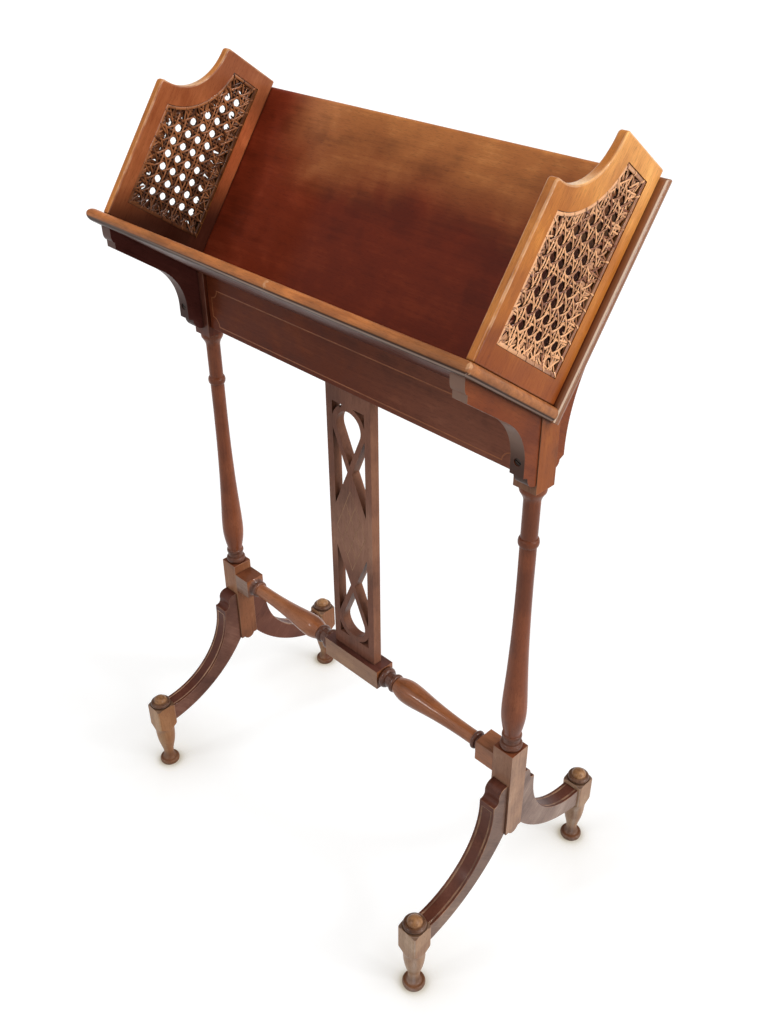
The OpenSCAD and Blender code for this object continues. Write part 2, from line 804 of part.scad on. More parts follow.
function leg_outline() =
    let (
        centre = under_centre(),
        root = [-half_stock, post_base_z] - centre,
        toe = [-foot_y, leg_end_z] - centre,
        cove = [leg_fillet - neck_y, leg_curve_z + leg_step_h + leg_cove_r],
        roll = cove + [leg_cove_r + leg_roll_r, leg_quirk_h]
    )
    concat(
        arc_points(centre, leg_under_r, atan2(root[1], root[0]), atan2(toe[1], toe[0]), curve_steps),
        arc_points([-foot_y, leg_curve_z], leg_r, -90, 0, curve_steps),
        [[-neck_y, leg_curve_z + leg_step_h]],
        arc_points(cove, leg_cove_r, -90, 0, corner_steps),
        arc_points(roll, leg_roll_r, 180, 90, corner_steps),
        [[-half_stock, leg_top_z]]
    );

// Band along the leg's curved face down to a depth, from an angle above the foot up to the neck.
module leg_band(from, front, depth, width) {
    centre = [-foot_y, leg_curve_z];
    side_plate(width) polygon(concat(
        arc_points(centre, leg_r - front, from, 0, curve_steps),
        arc_points(centre, leg_r + depth, 0, from, curve_steps)
    ));
}

// The stringing of a leg: two lines along its face, joined by a short bar at the top.
module leg_string(grow, front) {
    half_w = leg_t / 2 - leg_string_margin;
    for (side = [-1, 1]) translate([side * (half_w - leg_string_w / 2), 0, 0])
        leg_band(-90, front, string_depth, leg_string_w + 2 * grow);
    block([2 * (half_w + grow), front + string_depth, leg_string_w + 2 * grow],
        [0, (string_depth - front) / 2 - neck_y, leg_curve_z + leg_string_w / 2]);
}

module leg(side, face) {
    color(dark_mahogany) at_face(side, face) {
        difference() {
            side_plate(leg_t) polygon(leg_outline());
            leg_string(fit_gap, cut);
        }
        intersection() {
            leg_tenon(0);
            block([stock, stock, 2 * leg_top_z], [0, 0, 0]);
        }
        intersection() {
            toe_tenon(0);
            block([stock, foot_block, 2 * leg_top_z], [0, -foot_reach, 0]);
        }
    }
}

module leg_stringing(side, face) {
    color(boxwood) at_face(side, face) leg_string(0, 0);
}

function foot_profile() =
    let (corner_r = foot_block * sqrt(2) / 2 + cut)
    concat(
        bead(0, bun_h, bun_base_r, bun_r),
        swell([bun_h, bun_base_r - cut], [bun_h + foot_flare_h, foot_neck_r], 0, 1),
        [[foot_vase_z, foot_neck_r]],
        swell([foot_vase_z, foot_vase_low_r], [foot_round_z, foot_vase_r], 0.1, 0.6),
        swell([foot_round_z, foot_vase_r], [foot_block_z, corner_r], 0.6, 0.1),
        swell([foot_h - foot_shoulder_h, corner_r], [foot_h, foot_shoulder_r], 0.5, 0.1)
    );

module button_peg(grow) {
    translate([0, 0, foot_h - peg_len - grow]) cylinder(r = peg_r + grow, h = peg_len + grow + cut);
}

module at_foot(side, face) {
    at_face(side, face) translate([0, -foot_reach, 0]) children();
}

module foot(side, face) {
    color(worn_mahogany) difference() {
        at_foot(side, face) intersection() {
            lathe(foot_profile());
            block([foot_block, foot_block, 2 * foot_h], [0, 0, foot_h]);
        }
        at_face(side, face) toe_tenon(fit_gap);
        at_foot(side, face) button_peg(fit_gap);
    }
}

function button_profile() = concat(
    bead(foot_h, foot_h + button_ring_h, button_dome_r, button_ring_r),
    [for (i = [0 : bead_steps - 1]) let (a = 90 * i / bead_steps)
        [foot_h + button_ring_h + button_dome_h * sin(a), button_dome_r * cos(a)]],
    [[foot_h + button_ring_h + button_dome_h, 0]]
);

module foot_button(side, face) {
    color(worn_mahogany) at_foot(side, face) {
        lathe(button_profile());
        button_peg(0);
    }
}

// Outline of a bracket as [y, z], drawn at the front, under a board that rises by the given angle.
function bracket_outline(rise, reach, depth, foot, curve_r) =
    let (
        edge_y = half_stock + foot,
        step_z = bracket_heel_z - bracket_step_h,
        nose = [-reach, trough_z + reach * tan(rise)],
        toe_y = reach - nose_set,
        toe = [-toe_y, trough_z + toe_y * tan(rise) - depth / cos(rise)],
        curve_along = (edge_y + curve_r - (depth + curve_r) * sin(rise)) / cos(rise),
        curve_z = trough_z + curve_along * sin(rise) - (depth + curve_r) * cos(rise)
    )
    concat(
        [[-half_stock, trough_z + half_stock * tan(rise)], nose],
        [for (i = [0 : corner_steps]) let (a = 90 * i / corner_steps)
            [-reach + nose_set * (1 - cos(a)), nose[1] - nose_roll_h * (1 + sin(a)) / 2]],
        [toe],
        arc_points([-edge_y - curve_r, curve_z], curve_r, 90 - rise, 0, curve_steps),
        [[-edge_y, bracket_heel_z], [bracket_step - edge_y, step_z]],
        arc_points([-half_stock, step_z], foot - bracket_step, 180, 270, corner_steps)
    );

module at_bracket(side, face) {
    translate([side * bracket_shift, 0, 0]) at_face(side, face) children();
}

module bracket_front(side) {
    color(dark_mahogany) at_bracket(side, -1) difference() {
        side_plate(bracket_t)
            polygon(bracket_outline(trough_tilt, front_reach, front_depth, front_foot, front_curve_r));
        screw_hole(fit_gap);
    }
}

module bracket_rear(side) {
    color(mahogany) at_bracket(side, 1) side_plate(bracket_t)
        polygon(bracket_outline(90 - trough_tilt, rear_reach, rear_depth, rear_foot, rear_curve_r));
}

module bracket_screw(side) {
    cone_h = screw_head_r - screw_r;
    color(screw_steel) at_bracket(side, -1)
        translate([0, screw_sink - front_y, screw_z]) rotate([-90, 0, 0]) {
            cylinder(r1 = screw_head_r, r2 = screw_r, h = cone_h);
            cylinder(r = screw_r, h = screw_len);
        }
}

back_board();
shelf_board();
end_panel(-1);  // end_panel_left
end_panel(1);  // end_panel_right
cane(-1);  // cane_left
cane(1);  // cane_right
binding(-1, 1);  // binding_outer_left
binding(-1, -1);  // binding_inner_left
binding(1, 1);  // binding_outer_right
binding(1, -1);  // binding_inner_right
post(-1);  // post_left
post(1);  // post_right
apron();
apron_stringing();
stretcher();
splat();
splat_stringing();
leg(-1, -1);  // leg_front_left
leg(1, -1);  // leg_front_right
leg(-1, 1);  // leg_rear_left
leg(1, 1);  // leg_rear_right
leg_stringing(-1, -1);  // leg_stringing_front_left
leg_stringing(1, -1);  // leg_stringing_front_right
leg_stringing(-1, 1);  // leg_stringing_rear_left
leg_stringing(1, 1);  // leg_stringing_rear_right
foot(-1, -1);  // foot_front_left
foot(1, -1);  // foot_front_right
foot(-1, 1);  // foot_rear_left
foot(1, 1);  // foot_rear_right
foot_button(-1, -1);  // foot_button_front_left
foot_button(1, -1);  // foot_button_front_right
foot_button(-1, 1);  // foot_button_rear_left
foot_button(1, 1);  // foot_button_rear_right
bracket_front(-1);  // bracket_front_left
bracket_front(1);  // bracket_front_right
bracket_rear(-1);  // bracket_rear_left
bracket_rear(1);  // bracket_rear_right
bracket_screw(-1);  // bracket_screw_left
bracket_screw(1);  // bracket_screw_right
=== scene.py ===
"""Looks of a book trough on a turned stand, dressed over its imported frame.

Metres, +Z up, -Y is the front. The trough has a frame of its own: s runs forward along the shelf
and t runs up the back board, both from the inner corner where the two boards meet.
"""

import math
import random

import bmesh
import bpy
from mathutils import Matrix, Vector, noise


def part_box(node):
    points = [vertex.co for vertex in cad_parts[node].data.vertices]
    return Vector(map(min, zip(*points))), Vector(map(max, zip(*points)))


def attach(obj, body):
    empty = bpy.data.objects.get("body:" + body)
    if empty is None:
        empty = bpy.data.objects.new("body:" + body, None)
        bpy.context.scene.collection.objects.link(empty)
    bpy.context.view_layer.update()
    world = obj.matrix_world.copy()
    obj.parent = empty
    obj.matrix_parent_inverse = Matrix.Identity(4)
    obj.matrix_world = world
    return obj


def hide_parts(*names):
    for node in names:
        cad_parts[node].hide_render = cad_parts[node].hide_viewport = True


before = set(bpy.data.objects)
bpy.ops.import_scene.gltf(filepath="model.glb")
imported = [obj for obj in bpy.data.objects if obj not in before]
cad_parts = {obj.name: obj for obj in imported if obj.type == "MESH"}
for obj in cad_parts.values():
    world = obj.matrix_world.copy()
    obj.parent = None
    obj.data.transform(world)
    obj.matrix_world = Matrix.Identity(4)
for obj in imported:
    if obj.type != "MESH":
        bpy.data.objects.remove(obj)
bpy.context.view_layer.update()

MM = 0.001
SEED = 7

# Sizes that the solids have too
TILT = math.radians(35.75)
SHELF_T = 12 * MM
SHELF_DEPTH = 139 * MM
BACK_T = 10.5 * MM
PANEL_T = 9 * MM
PANEL_INSET = 7.2 * MM
PANEL_DEPTH = 126.5 * MM
PANEL_FRONT_H = 141.5 * MM
PANEL_BACK_H = 203.5 * MM
PANEL_FRONT_FLAT = 5 * MM
PANEL_PEAK_FLAT = 70 * MM
PANEL_CORNER_R = 4 * MM
PANEL_RAIL = 18.4 * MM
PANEL_LOW_RAIL = 22 * MM
PANEL_TOP_RAIL = 19.6 * MM
PANEL_SCOOP_RAIL = 21.6 * MM
CANE_PITCH = 13.5 * MM
CANE_FIRST_COLUMN = 31.7 * MM
CANE_FIRST_ROW = 28 * MM
BINDING_LAP = 2.4 * MM
BINDING_LIP = 1 * MM
BINDING_DEPTH = 1.4 * MM
LOW_BLOCK_TOP = 263 * MM
HIGH_BLOCK_Z = 582 * MM
BASE_MOULDING_H = 19.5 * MM
CENTRE_BLOCK_END = 44 * MM
CENTRE_MOULDING = 21 * MM
END_BLOCK_START = 193.3 * MM
END_RING = 11 * MM
SIDES = {"left": -1, "right": 1}
FACES = {"front": -1, "rear": 1}

# The inner corner of the trough and its two directions
FORWARD = Vector((0, -math.cos(TILT), math.sin(TILT)))
UPWARD = Vector((0, math.sin(TILT), math.cos(TILT)))
CORNER = Vector((0, 0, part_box("back_board")[0].z)) + SHELF_T * UPWARD + BACK_T * FORWARD
BOARD_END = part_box("shelf_board")[1].x
PANEL_X = BOARD_END - PANEL_INSET - PANEL_T / 2
ALONG_X = Vector((1, 0, 0))
ALONG_Z = Vector((0, 0, 1))
FRONT = Vector((0, -1, 0))


def in_trough(x, s, t):
    return CORNER + Vector((x, 0, 0)) + s * FORWARD + t * UPWARD


# Shader graphs

def srgb(red, green, blue):
    """A colour as it reads on screen, 0 to 255, as the linear colour that a shader takes."""
    linear = []
    for value in (red, green, blue):
        share = value / 255
        linear.append(share / 12.92 if share <= 0.04045 else ((share + 0.055) / 1.055) ** 2.4)
    return (*linear, 1)


def add(tree, kind, inputs=None, **settings):
    """A new node. Inputs are values or sockets, by name or by number."""
    node = tree.nodes.new("ShaderNode" + kind)
    for name, value in settings.items():
        setattr(node, name, value)
    for name, value in (inputs or {}).items():
        if isinstance(value, bpy.types.NodeSocket):
            tree.links.new(value, node.inputs[name])
        else:
            node.inputs[name].default_value = value
    return node


def linked(kind, inputs, **settings):
    """A new node in the tree of the first socket among its inputs."""
    tree = next(value.id_data for value in inputs.values() if isinstance(value, bpy.types.NodeSocket))
    return add(tree, kind, inputs, **settings)


def blended(factor, first, second, kind="MIX"):
    """A colour mixed from two, by a factor that is a value or a socket."""
    inputs = {0: factor, 6: first, 7: second}
    return linked("Mix", inputs, data_type="RGBA", blend_type=kind).outputs[2]


def shifted(colour, where, before, after):
    """A colour carried by the share between two tones, so that its figure stays."""
    share = [new / old for old, new in zip(srgb(*before), srgb(*after))]
    return blended(where, colour, share, "MULTIPLY")


def layered(colour, *layers):
    """A colour shifted in turn by layers: each is the tone before, the tone after, and where."""
    for before, after, *where in layers:
        colour = shifted(colour, times(*where), before, after)
    return colour


def calc(operation, first, second=0.0):
    return linked("Math", {0: first, 1: second}, operation=operation).outputs[0]


def times(*values):
    product = values[0]
    for value in values[1:]:
        product = calc("MULTIPLY", product, value)
    return product


def ramp(value, low, high, to_low=0.0, to_high=1.0):
    """A value carried smoothly from one span to another, and held at its ends."""
    inputs = {"Value": value, 1: low, 2: high, 3: to_low, 4: to_high}
    return linked("MapRange", inputs, interpolation_type="SMOOTHSTEP").outputs[0]


def span(value, low, high, *ends):
    """A ramp with its limits in millimetres."""
    return ramp(value, low * MM, high * MM, *ends)


def within(value, low, high, soft):
    """1 between two limits and 0 outside them, with soft ends."""
    rise = ramp(value, low - soft, low + soft)
    return times(rise, ramp(value, high + soft, high - soft))


def vector_calc(operation, first, second, output="Vector"):
    return linked("VectorMath", {0: first, 1: second}, operation=operation).outputs[output]


def clouds(place, scale, detail=2.0, distortion=0.0):
    """Soft noise. Scale is a number, or three for a stretched one, in features to the metre."""
    if isinstance(scale, tuple):
        place = vector_calc("MULTIPLY", place, scale)
        scale = 1.0
    inputs = {"Vector": place, "Scale": scale, "Detail": detail, "Distortion": distortion}
    return linked("TexNoise", inputs).outputs[0]


def object_place(tree):
    return add(tree, "TexCoord").outputs["Object"]


def distance_along(tree, origin, direction):
    """How far a piece's places lie from an origin in a direction."""
    offset = vector_calc("SUBTRACT", object_place(tree), tuple(origin))
    return vector_calc("DOT_PRODUCT", offset, tuple(direction), "Value")


def from_corner(tree, direction):
    return distance_along(tree, CORNER, direction)


def across_of(tree):
    """How far to the right of the middle of the stand."""
    return distance_along(tree, (0, 0, 0), ALONG_X)


def height_of(tree):
    """How far above the floor."""
    return distance_along(tree, (0, 0, 0), ALONG_Z)


def facing(tree, direction):
    """How far a surface faces a direction of the object, 0 to 1."""
    normal = add(tree, "NewGeometry").outputs["Normal"]
    return calc("MAXIMUM", vector_calc("DOT_PRODUCT", normal, tuple(direction), "Value"), 0.0)


def turned_to(tree, direction):
    """1 on surfaces that mostly face a direction, 0 on those that do not."""
    return ramp(facing(tree, direction.normalized()), 0.35, 0.9)


def spot(tree, centre, reach, ragged):
    """1 inside a small ragged patch and 0 outside it. Reach is its half size along X, Y and Z."""
    place = object_place(tree)
    offset = vector_calc("SUBTRACT", place, tuple(centre))
    scaled = vector_calc("DIVIDE", offset, reach)
    far = linked("VectorMath", {0: scaled}, operation="LENGTH").outputs["Value"]
    fray = times(calc("SUBTRACT", clouds(place, 300.0), 0.5), ragged)
    return ramp(calc("ADD", far, fray), 1.0, 0.6)


def new_material(name):
    material = bpy.data.materials.new(name)
    material.use_nodes = True
    material.node_tree.nodes.clear()
    return material, material.node_tree


def finish_shader(colour, roughness, normal, specular, coat, coat_roughness):
    """The shader that the wood and the cane end in. What is the same all over sits on its own sockets."""
    inputs = {
        "Base Color": colour,
        "Roughness": roughness,
        "Normal": normal,
        "Specular IOR Level": specular,
        "Coat Weight": coat,
        "Coat Roughness": coat_roughness,
    }
    shader = linked("BsdfPrincipled", inputs)
    linked("OutputMaterial", {"Surface": shader.outputs[0]})


def bumped(height, strength, distance):
    inputs = {"Height": height, "Strength": strength, "Distance": distance}
    return linked("Bump", inputs).outputs[0]


def grain_place(tree, grain, seed):
    """The place on a piece, turned so that its first axis runs along the grain."""
    along = grain.normalized()
    across = along.orthogonal().normalized()
    turn = Matrix((along, across, along.cross(across))).to_euler()
    inputs = {"Vector": object_place(tree), "Rotation": turn, "Location": (seed * 0.37, seed * 0.11, 0.0)}
    return linked("Mapping", inputs, vector_type="POINT").outputs[0]


WORN = (205, 150, 104)
ARRIS_POLISH = 0.3
GRIME_AND_SHADE_REACH = 6 * MM


def wood_figure(tones, place):
    """The colour of a wood, with the streaks, pores and mottle that it is mixed from."""
    figure = clouds(place, (4.0, 30.0, 30.0), 4.0, 0.6)
    streak = clouds(place, (14.0, 330.0, 330.0), 3.0)
    pores = clouds(place, (160.0, 2400.0, 2400.0), 1.0)
    mottle = clouds(place, 30.0, 5.0, 0.3)
    mixed = calc("ADD", times(figure, 0.42), times(streak, 0.18))
    mixed = calc("ADD", mixed, times(mottle, 0.4))
    deep, middle, light = (srgb(*tone) for tone in tones)
    colour = blended(ramp(mixed, 0.38, 0.5), deep, middle)
    colour = blended(ramp(mixed, 0.5, 0.62), colour, light)
    colour = blended(ramp(pores, 0.56, 0.68, 0.0, 0.3), colour, srgb(36, 16, 10))
    return colour, streak, pores, mottle


def wood(name, tones, grain, seed, tints=(), marks=None, worn=WORN, wear_and_highlight=0.25,
         roughness=0.42, specular=0.12, coat=0.1, grime_and_shade=0.6, gloss=None, bare=None):
    """Polished mahogany: figure, streaks and pores along the grain, grime with painted shade in corners,
    worn arrises.

    Tones are the deep, middle and light colours of the figure. Each tint is a direction and the tone
    that the faces turned to it have, which is a painted sheen on them, and marks is a function that adds
    what one piece alone has. Gloss and bare are functions that say where the piece has more polish, and
    where its arrises are worn.
    """
    material, tree = new_material(name)
    colour, streak, pores, mottle = wood_figure(tones, grain_place(tree, grain, seed))
    # Painted sheen on the faces turned to each tint's direction
    for direction, tone in tints:
        veil = times(turned_to(tree, direction), ramp(mottle, 0.3, 0.65, 0.65, 1.0))
        colour = shifted(colour, veil, tones[1], tone)
    if marks:
        colour = marks(tree, colour, tones[1])
    # Grime and painted shade: darker where nearby surfaces hem a place in
    shade = add(tree, "AmbientOcclusion", {"Distance": GRIME_AND_SHADE_REACH}, samples=8).outputs["AO"]
    colour = blended(ramp(shade, 0.25, 0.8, grime_and_shade, 0.0), colour, srgb(26, 13, 10))
    # Pale arrises: wear, and on the end panels partly a painted highlight
    arris = add(tree, "Attribute", attribute_name="arris").outputs["Fac"]
    rubbed = ramp(clouds(object_place(tree), 60.0, 4.0), 0.4, 0.62, 0.1, 1.0)
    rubbed = times(arris, rubbed, wear_and_highlight)
    if bare:
        rubbed = times(rubbed, bare(tree))
    colour = blended(rubbed, colour, srgb(*worn))
    rough = ramp(mottle, 0.25, 0.75, roughness - 0.08, roughness + 0.08)
    height = calc("SUBTRACT", times(streak, 0.4), times(pores, 0.6))
    height = calc("ADD", height, times(mottle, 1.5))
    polish = calc("ADD", times(arris, ARRIS_POLISH), coat)
    if gloss:
        polish = calc("ADD", polish, gloss(tree))
    finish_shader(colour, rough, bumped(height, 0.12, 0.5 * MM), specular, polish, 0.14)
    return material


def back_ends(tree):
    """1 on the rounded ends of the back board, 0 elsewhere."""
    off_middle = calc("ABSOLUTE", across_of(tree))
    return ramp(off_middle, BOARD_END - 8 * MM, BOARD_END - 6 * MM)


def back_marks(tree, colour, middle):
    """The back board is paler in a cloudy band along its top, a painted sheen, and darker beside the right
    panel, a painted shadow of it.

    Its ends are brown, each with a pale painted highlight along it.
    """
    height = from_corner(tree, UPWARD)
    across = across_of(tree)
    # Painted sheen: a paler cloudy band along the top
    drift = times(clouds(object_place(tree), (8.0, 11.0, 11.0), 3.0, 0.6), 110 * MM)
    painted_sheen_band = span(calc("ADD", height, drift), 150, 265)
    painted_sheen_band = times(painted_sheen_band, span(across, -210, -120))
    left = span(across, -80, -190)
    # Painted shadow of the right panel on the board beside it
    lift = span(height, 120, 200, 0.0, 60 * MM)
    panel_shadow = span(calc("SUBTRACT", across, lift), 160, 190)
    panel_shadow = times(panel_shadow, turned_to(tree, FORWARD), ramp(across, PANEL_X + 2 * MM, PANEL_X))
    colour = layered(
        colour,
        (middle, (192, 118, 64), painted_sheen_band),
        (middle, (130, 50, 28), left),
        (middle, (66, 26, 14), panel_shadow),
    )
    ends = back_ends(tree)
    colour = blended(times(ends, 0.85), colour, srgb(146, 96, 63))
    # A pale painted highlight along the crown of each rounded end
    halfway = [facing(tree, (FORWARD + side * ALONG_X).normalized()) for side in SIDES.values()]
    painted_reflection = ramp(calc("MAXIMUM", *halfway), 0.98, 0.996, 0.0, 0.85)
    return blended(times(ends, painted_reflection), colour, srgb(236, 210, 184))


def back_gloss(tree):
    return times(back_ends(tree), 0.6)


SHELF_COAT = 0.2


def shelf_marks(tree, colour, middle):
    """The shelf's rounded front and ends are rubbed tan, with a painted shadow underneath and a painted
    grey reflection low down.
    Its top and underside are darker as painted shade, the top most beside the right panel.

    Its front has a pale dent, and its right front corner is chipped.
    """
    reach = from_corner(tree, FORWARD)
    across = across_of(tree)
    nose = ramp(reach, SHELF_DEPTH - 12 * MM, SHELF_DEPTH - 5 * MM)
    ends = ramp(calc("ABSOLUTE", across), BOARD_END - 10 * MM, BOARD_END - 4 * MM)
    edge = calc("MAXIMUM", nose, ends)
    board = calc("SUBTRACT", 1.0, edge)
    patches = ramp(clouds(object_place(tree), (30.0, 140.0, 140.0), 4.0), 0.32, 0.6, 0.7, 1.0)
    right = span(across, 120, 220)
    tan = (198, 121, 66)
    colour = layered(
        colour,
        (middle, tan, edge, patches),
        (tan, (164, 102, 58), edge, right),
    )
    # Painted shadow under the rounded front and ends
    under = facing(tree, -UPWARD)
    edge_shadow = times(edge, ramp(under, 0.34, 0.56, 0.0, 0.92))
    colour = blended(edge_shadow, colour, srgb(44, 31, 25))
    # A painted grey reflection low on the rounded front, which moves along it
    drift = calc("SUBTRACT", under, span(across, -220, 60, 0.55, 0.8))
    strength = ramp(across, -200 * MM, 0.0, 0.2, 0.85)
    painted_reflection = times(edge, within(drift, -0.1, 0.1, 0.07), strength)
    colour = blended(painted_reflection, colour, srgb(178, 152, 138))
    # Painted shade: the top and the underside are darker, the top most beside the right panel
    below = times(turned_to(tree, -UPWARD), board)
    above = times(turned_to(tree, UPWARD), board)
    slant = calc("SUBTRACT", across, times(reach, 0.67))
    colour = layered(
        colour,
        (middle, (84, 38, 26), below),
        (middle, (82, 32, 20), above),
        (middle, (64, 27, 17), above, span(slant, 160, 190)),
    )
    dent = spot(tree, in_trough(26 * MM, 137 * MM, -6 * MM), (3 * MM, 4 * MM, 5 * MM), 1.8)
    corner = in_trough(BOARD_END - 1.5 * MM, SHELF_DEPTH - 1.5 * MM, -3 * MM)
    chip = spot(tree, corner, (2.4 * MM, 4 * MM, 7 * MM), 1.6)
    return blended(times(calc("MAXIMUM", dent, chip), 0.75), colour, srgb(216, 162, 118))


def shelf_gloss(tree):
    """The underside of the shelf has no polish."""
    return ramp(facing(tree, -UPWARD), 0.3, 0.6, 0.0, -SHELF_COAT)


def panel_finish(name):
    """An end panel is golden outside and redder inside, darker toward its foot, with pale rubbed edges.
    It has painted light toward its top outside, painted shade at its foot inside, a painted reflection
    of the back board by its rear edge inside and a painted highlight on the middle of its scoop edge.
    """
    side = SIDES[name]
    outward = side * ALONG_X
    golden = (196, 118, 50)
    red = (170, 96, 56)
    rubbed = (200, 123, 58)

    def marks(tree, colour, middle):
        height = from_corner(tree, UPWARD)
        reach = from_corner(tree, FORWARD)
        outside = turned_to(tree, outward)
        inside = turned_to(tree, -outward)
        edge = calc("SUBTRACT", 1.0, calc("MAXIMUM", outside, inside))
        low = span(height, 70, 5)
        high = span(height, 120, 195)
        climb = calc("ADD", height, times(reach, 0.5))
        foot = span(climb, 112, 45)
        rear = times(span(reach, 30, 14), span(height, 185, 140))
        top = span(height, 135, 175)
        scoop = times(turned_to(tree, UPWARD), within(reach, 78 * MM, 112 * MM, 14 * MM))
        return layered(
            colour,
            (middle, golden, outside),
            (golden, (148, 75, 30), outside, low),
            # Painted light toward the top outside
            (golden, (244, 170, 94), outside, high),
            (middle, red, inside),
            # Painted shade at the foot inside
            (red, (66, 33, 22), inside, foot),
            # Painted reflection of the back board by the rear edge inside
            (red, (200, 106, 62), inside, rear),
            (red, (152, 85, 51), inside, top),
            (middle, rubbed, edge),
            # Painted highlight on the middle of the scoop edge
            (rubbed, (250, 205, 160), edge, scoop),
        )

    def bare(tree):
        above_shelf = span(from_corner(tree, UPWARD), 4, 40)
        off_back = span(from_corner(tree, FORWARD), 2, 8)
        return times(above_shelf, off_back)

    tones = ((134, 66, 36), (152, 80, 46), (170, 95, 57))
    # The pale arris colour of a panel is partly wear and partly a painted highlight
    return wood(f"panel_{name}", tones, UPWARD, 3 + side, (), marks, (240, 194, 148), 0.38,
                specular=0.08, coat=0.22, bare=bare)


# The lower block's front and right side, then the upper block's, with their greyer tones a painted sheen
POST_TONES = {
    "left": ((158, 110, 82), (137, 85, 56), (116, 68, 54), (118, 56, 34)),
    "right": ((156, 114, 91), (170, 132, 107), (142, 99, 75), (150, 80, 36)),
}


def post_finish(name):
    """A post has faces on its blocks greyed by a painted sheen, and is darker round the mouldings above the
    lower one.
    """
    low_front, low_side, high_front, high_side = POST_TONES[name]

    def marks(tree, colour, middle):
        height = height_of(tree)
        low = ramp(height, LOW_BLOCK_TOP + 1 * MM, LOW_BLOCK_TOP - 1 * MM)
        high = ramp(height, HIGH_BLOCK_Z - 1 * MM, HIGH_BLOCK_Z + 1 * MM)
        front = turned_to(tree, FRONT)
        right = turned_to(tree, ALONG_X)
        turned = within(height, LOW_BLOCK_TOP + 1 * MM, LOW_BLOCK_TOP + BASE_MOULDING_H, 2 * MM)
        return layered(
            colour,
            (middle, high_front, high, front),
            (middle, high_side, high, right),
            (middle, low_front, low, front),
            (middle, low_side, low, right),
            (middle, (105, 65, 49), turned),
        )

    def gloss(tree):
        return times(within(height_of(tree), LOW_BLOCK_TOP, HIGH_BLOCK_Z, 1 * MM), 0.18)

    tones = ((112, 58, 34), (132, 71, 43), (148, 86, 55))
    return wood(f"post_wood_{name}", tones, ALONG_Z, 11 + SIDES[name], (), marks, specular=0.1, gloss=gloss)


# The front and the top of each end block of the stretcher
END_BLOCK_TONES = {"left": ((134, 98, 78), (120, 68, 42)), "right": ((162, 97, 54), (156, 96, 60))}


def stretcher_marks(tree, colour, middle):
    """The stretcher's mouldings are dark, and its blocks have tones of their own in front and on top; the
    dark top of the centre block is painted shade under the splat.
    """
    across = across_of(tree)
    off_middle = calc("ABSOLUTE", across)
    inner = within(off_middle, CENTRE_BLOCK_END + 1 * MM, CENTRE_BLOCK_END + CENTRE_MOULDING, 2 * MM)
    outer = within(off_middle, END_BLOCK_START - END_RING, END_BLOCK_START - 1 * MM, 1.5 * MM)
    colour = shifted(colour, calc("MAXIMUM", inner, outer), middle, (100, 60, 44))
    front = turned_to(tree, FRONT)
    top = turned_to(tree, ALONG_Z)
    centre = ramp(off_middle, CENTRE_BLOCK_END + 1 * MM, CENTRE_BLOCK_END - 1 * MM)
    # The centre block's dark top is painted shade under the splat
    blocks = [(centre, (152, 107, 76), (96, 54, 44))]
    for name, tones in END_BLOCK_TONES.items():
        outward = times(across, SIDES[name])
        blocks.append((ramp(outward, END_BLOCK_START - 1 * MM, END_BLOCK_START + 1 * MM), *tones))
    for block, front_tone, top_tone in blocks:
        colour = layered(
            colour,
            (middle, front_tone, block, front),
            (middle, top_tone, block, top),
        )
    return colour


def apron_marks(tree, colour, middle):
    """The apron is paler toward its right end."""
    return shifted(colour, span(across_of(tree), -50, 200), middle, (136, 83, 64))


def splat_marks(tree, colour, middle):
    """The lozenge in the middle of the splat is paler than the rest."""
    low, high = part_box("splat_stringing")
    off_middle = calc("ABSOLUTE", distance_along(tree, (low + high) / 2, ALONG_Z))
    lozenge = ramp(off_middle, (high.z - low.z) / 2 + 15 * MM, 20 * MM)
    return shifted(colour, times(lozenge, turned_to(tree, FRONT)), middle, (154, 110, 90))


BRACKET_TONES = {
    "left": ((92, 47, 41), (108, 58, 51), (122, 69, 60)),
    "right": ((112, 53, 28), (130, 65, 35), (144, 77, 44)),
}
# Each bracket's curved edge: its painted grey sheen, then its painted shade low down, both darker on the
# left as painted shade
BRACKET_EDGE = {"left": ((104, 82, 75), (66, 47, 42)), "right": ((152, 126, 112), (86, 65, 57))}


def bracket_finish(name):
    """The curved edge of a bracket is grey with polish above, a painted sheen, and darker below with
    painted shade.
    """
    grey, low = BRACKET_EDGE[name]

    def marks(tree, colour, middle):
        edge = turned_to(tree, FRONT)
        # Painted shade toward the foot of the edge
        foot = span(height_of(tree), 650, 615)
        colour = blended(times(edge, 0.8), colour, srgb(*grey))
        return shifted(colour, times(edge, foot), grey, low)

    return wood(f"bracket_wood_{name}", BRACKET_TONES[name], FORWARD, 15 + SIDES[name], (), marks,
                specular=0.06, coat=0.08)


def foot_marks(tree, colour, middle):
    """A foot's neck, its bun and the ring round its button are dark with polish."""
    height = height_of(tree)
    ring = times(ramp(facing(tree, ALONG_Z), 0.3, 0.8), ramp(height, VASE_Z, BLOCK_Z))
    return layered(
        colour,
        (middle, (112, 72, 48), span(height, 26, 12)),
        (middle, (110, 80, 60), ring),
    )


def button_marks(tree, colour, middle):
    """A button has a dark ring and a golden dome with dark flecks."""
    ring = span(height_of(tree), 110, 108.5)
    flecks = ramp(clouds(object_place(tree), 300.0, 3.0), 0.5, 0.64, 0.0, 0.6)
    return layered(colour, (middle, (106, 72, 52), ring), (middle, (118, 78, 50), flecks))


def inlay(name, deep, light):
    """Boxwood stringing, brown under old polish."""
    material, tree = new_material(name)
    place = object_place(tree)
    tone = clouds(place, 60.0, 3.0)
    fine = clouds(place, 900.0, 2.0)
    colour = blended(ramp(tone, 0.3, 0.7), srgb(*deep), srgb(*light))
    colour = blended(ramp(fine, 0.5, 0.7, 0.0, 0.25), colour, srgb(92, 52, 36))
    rough = ramp(tone, 0.2, 0.8, 0.32, 0.46)
    finish_shader(colour, rough, bumped(fine, 0.1, 0.1 * MM), 0.12, 0.1, 0.16)
    return material


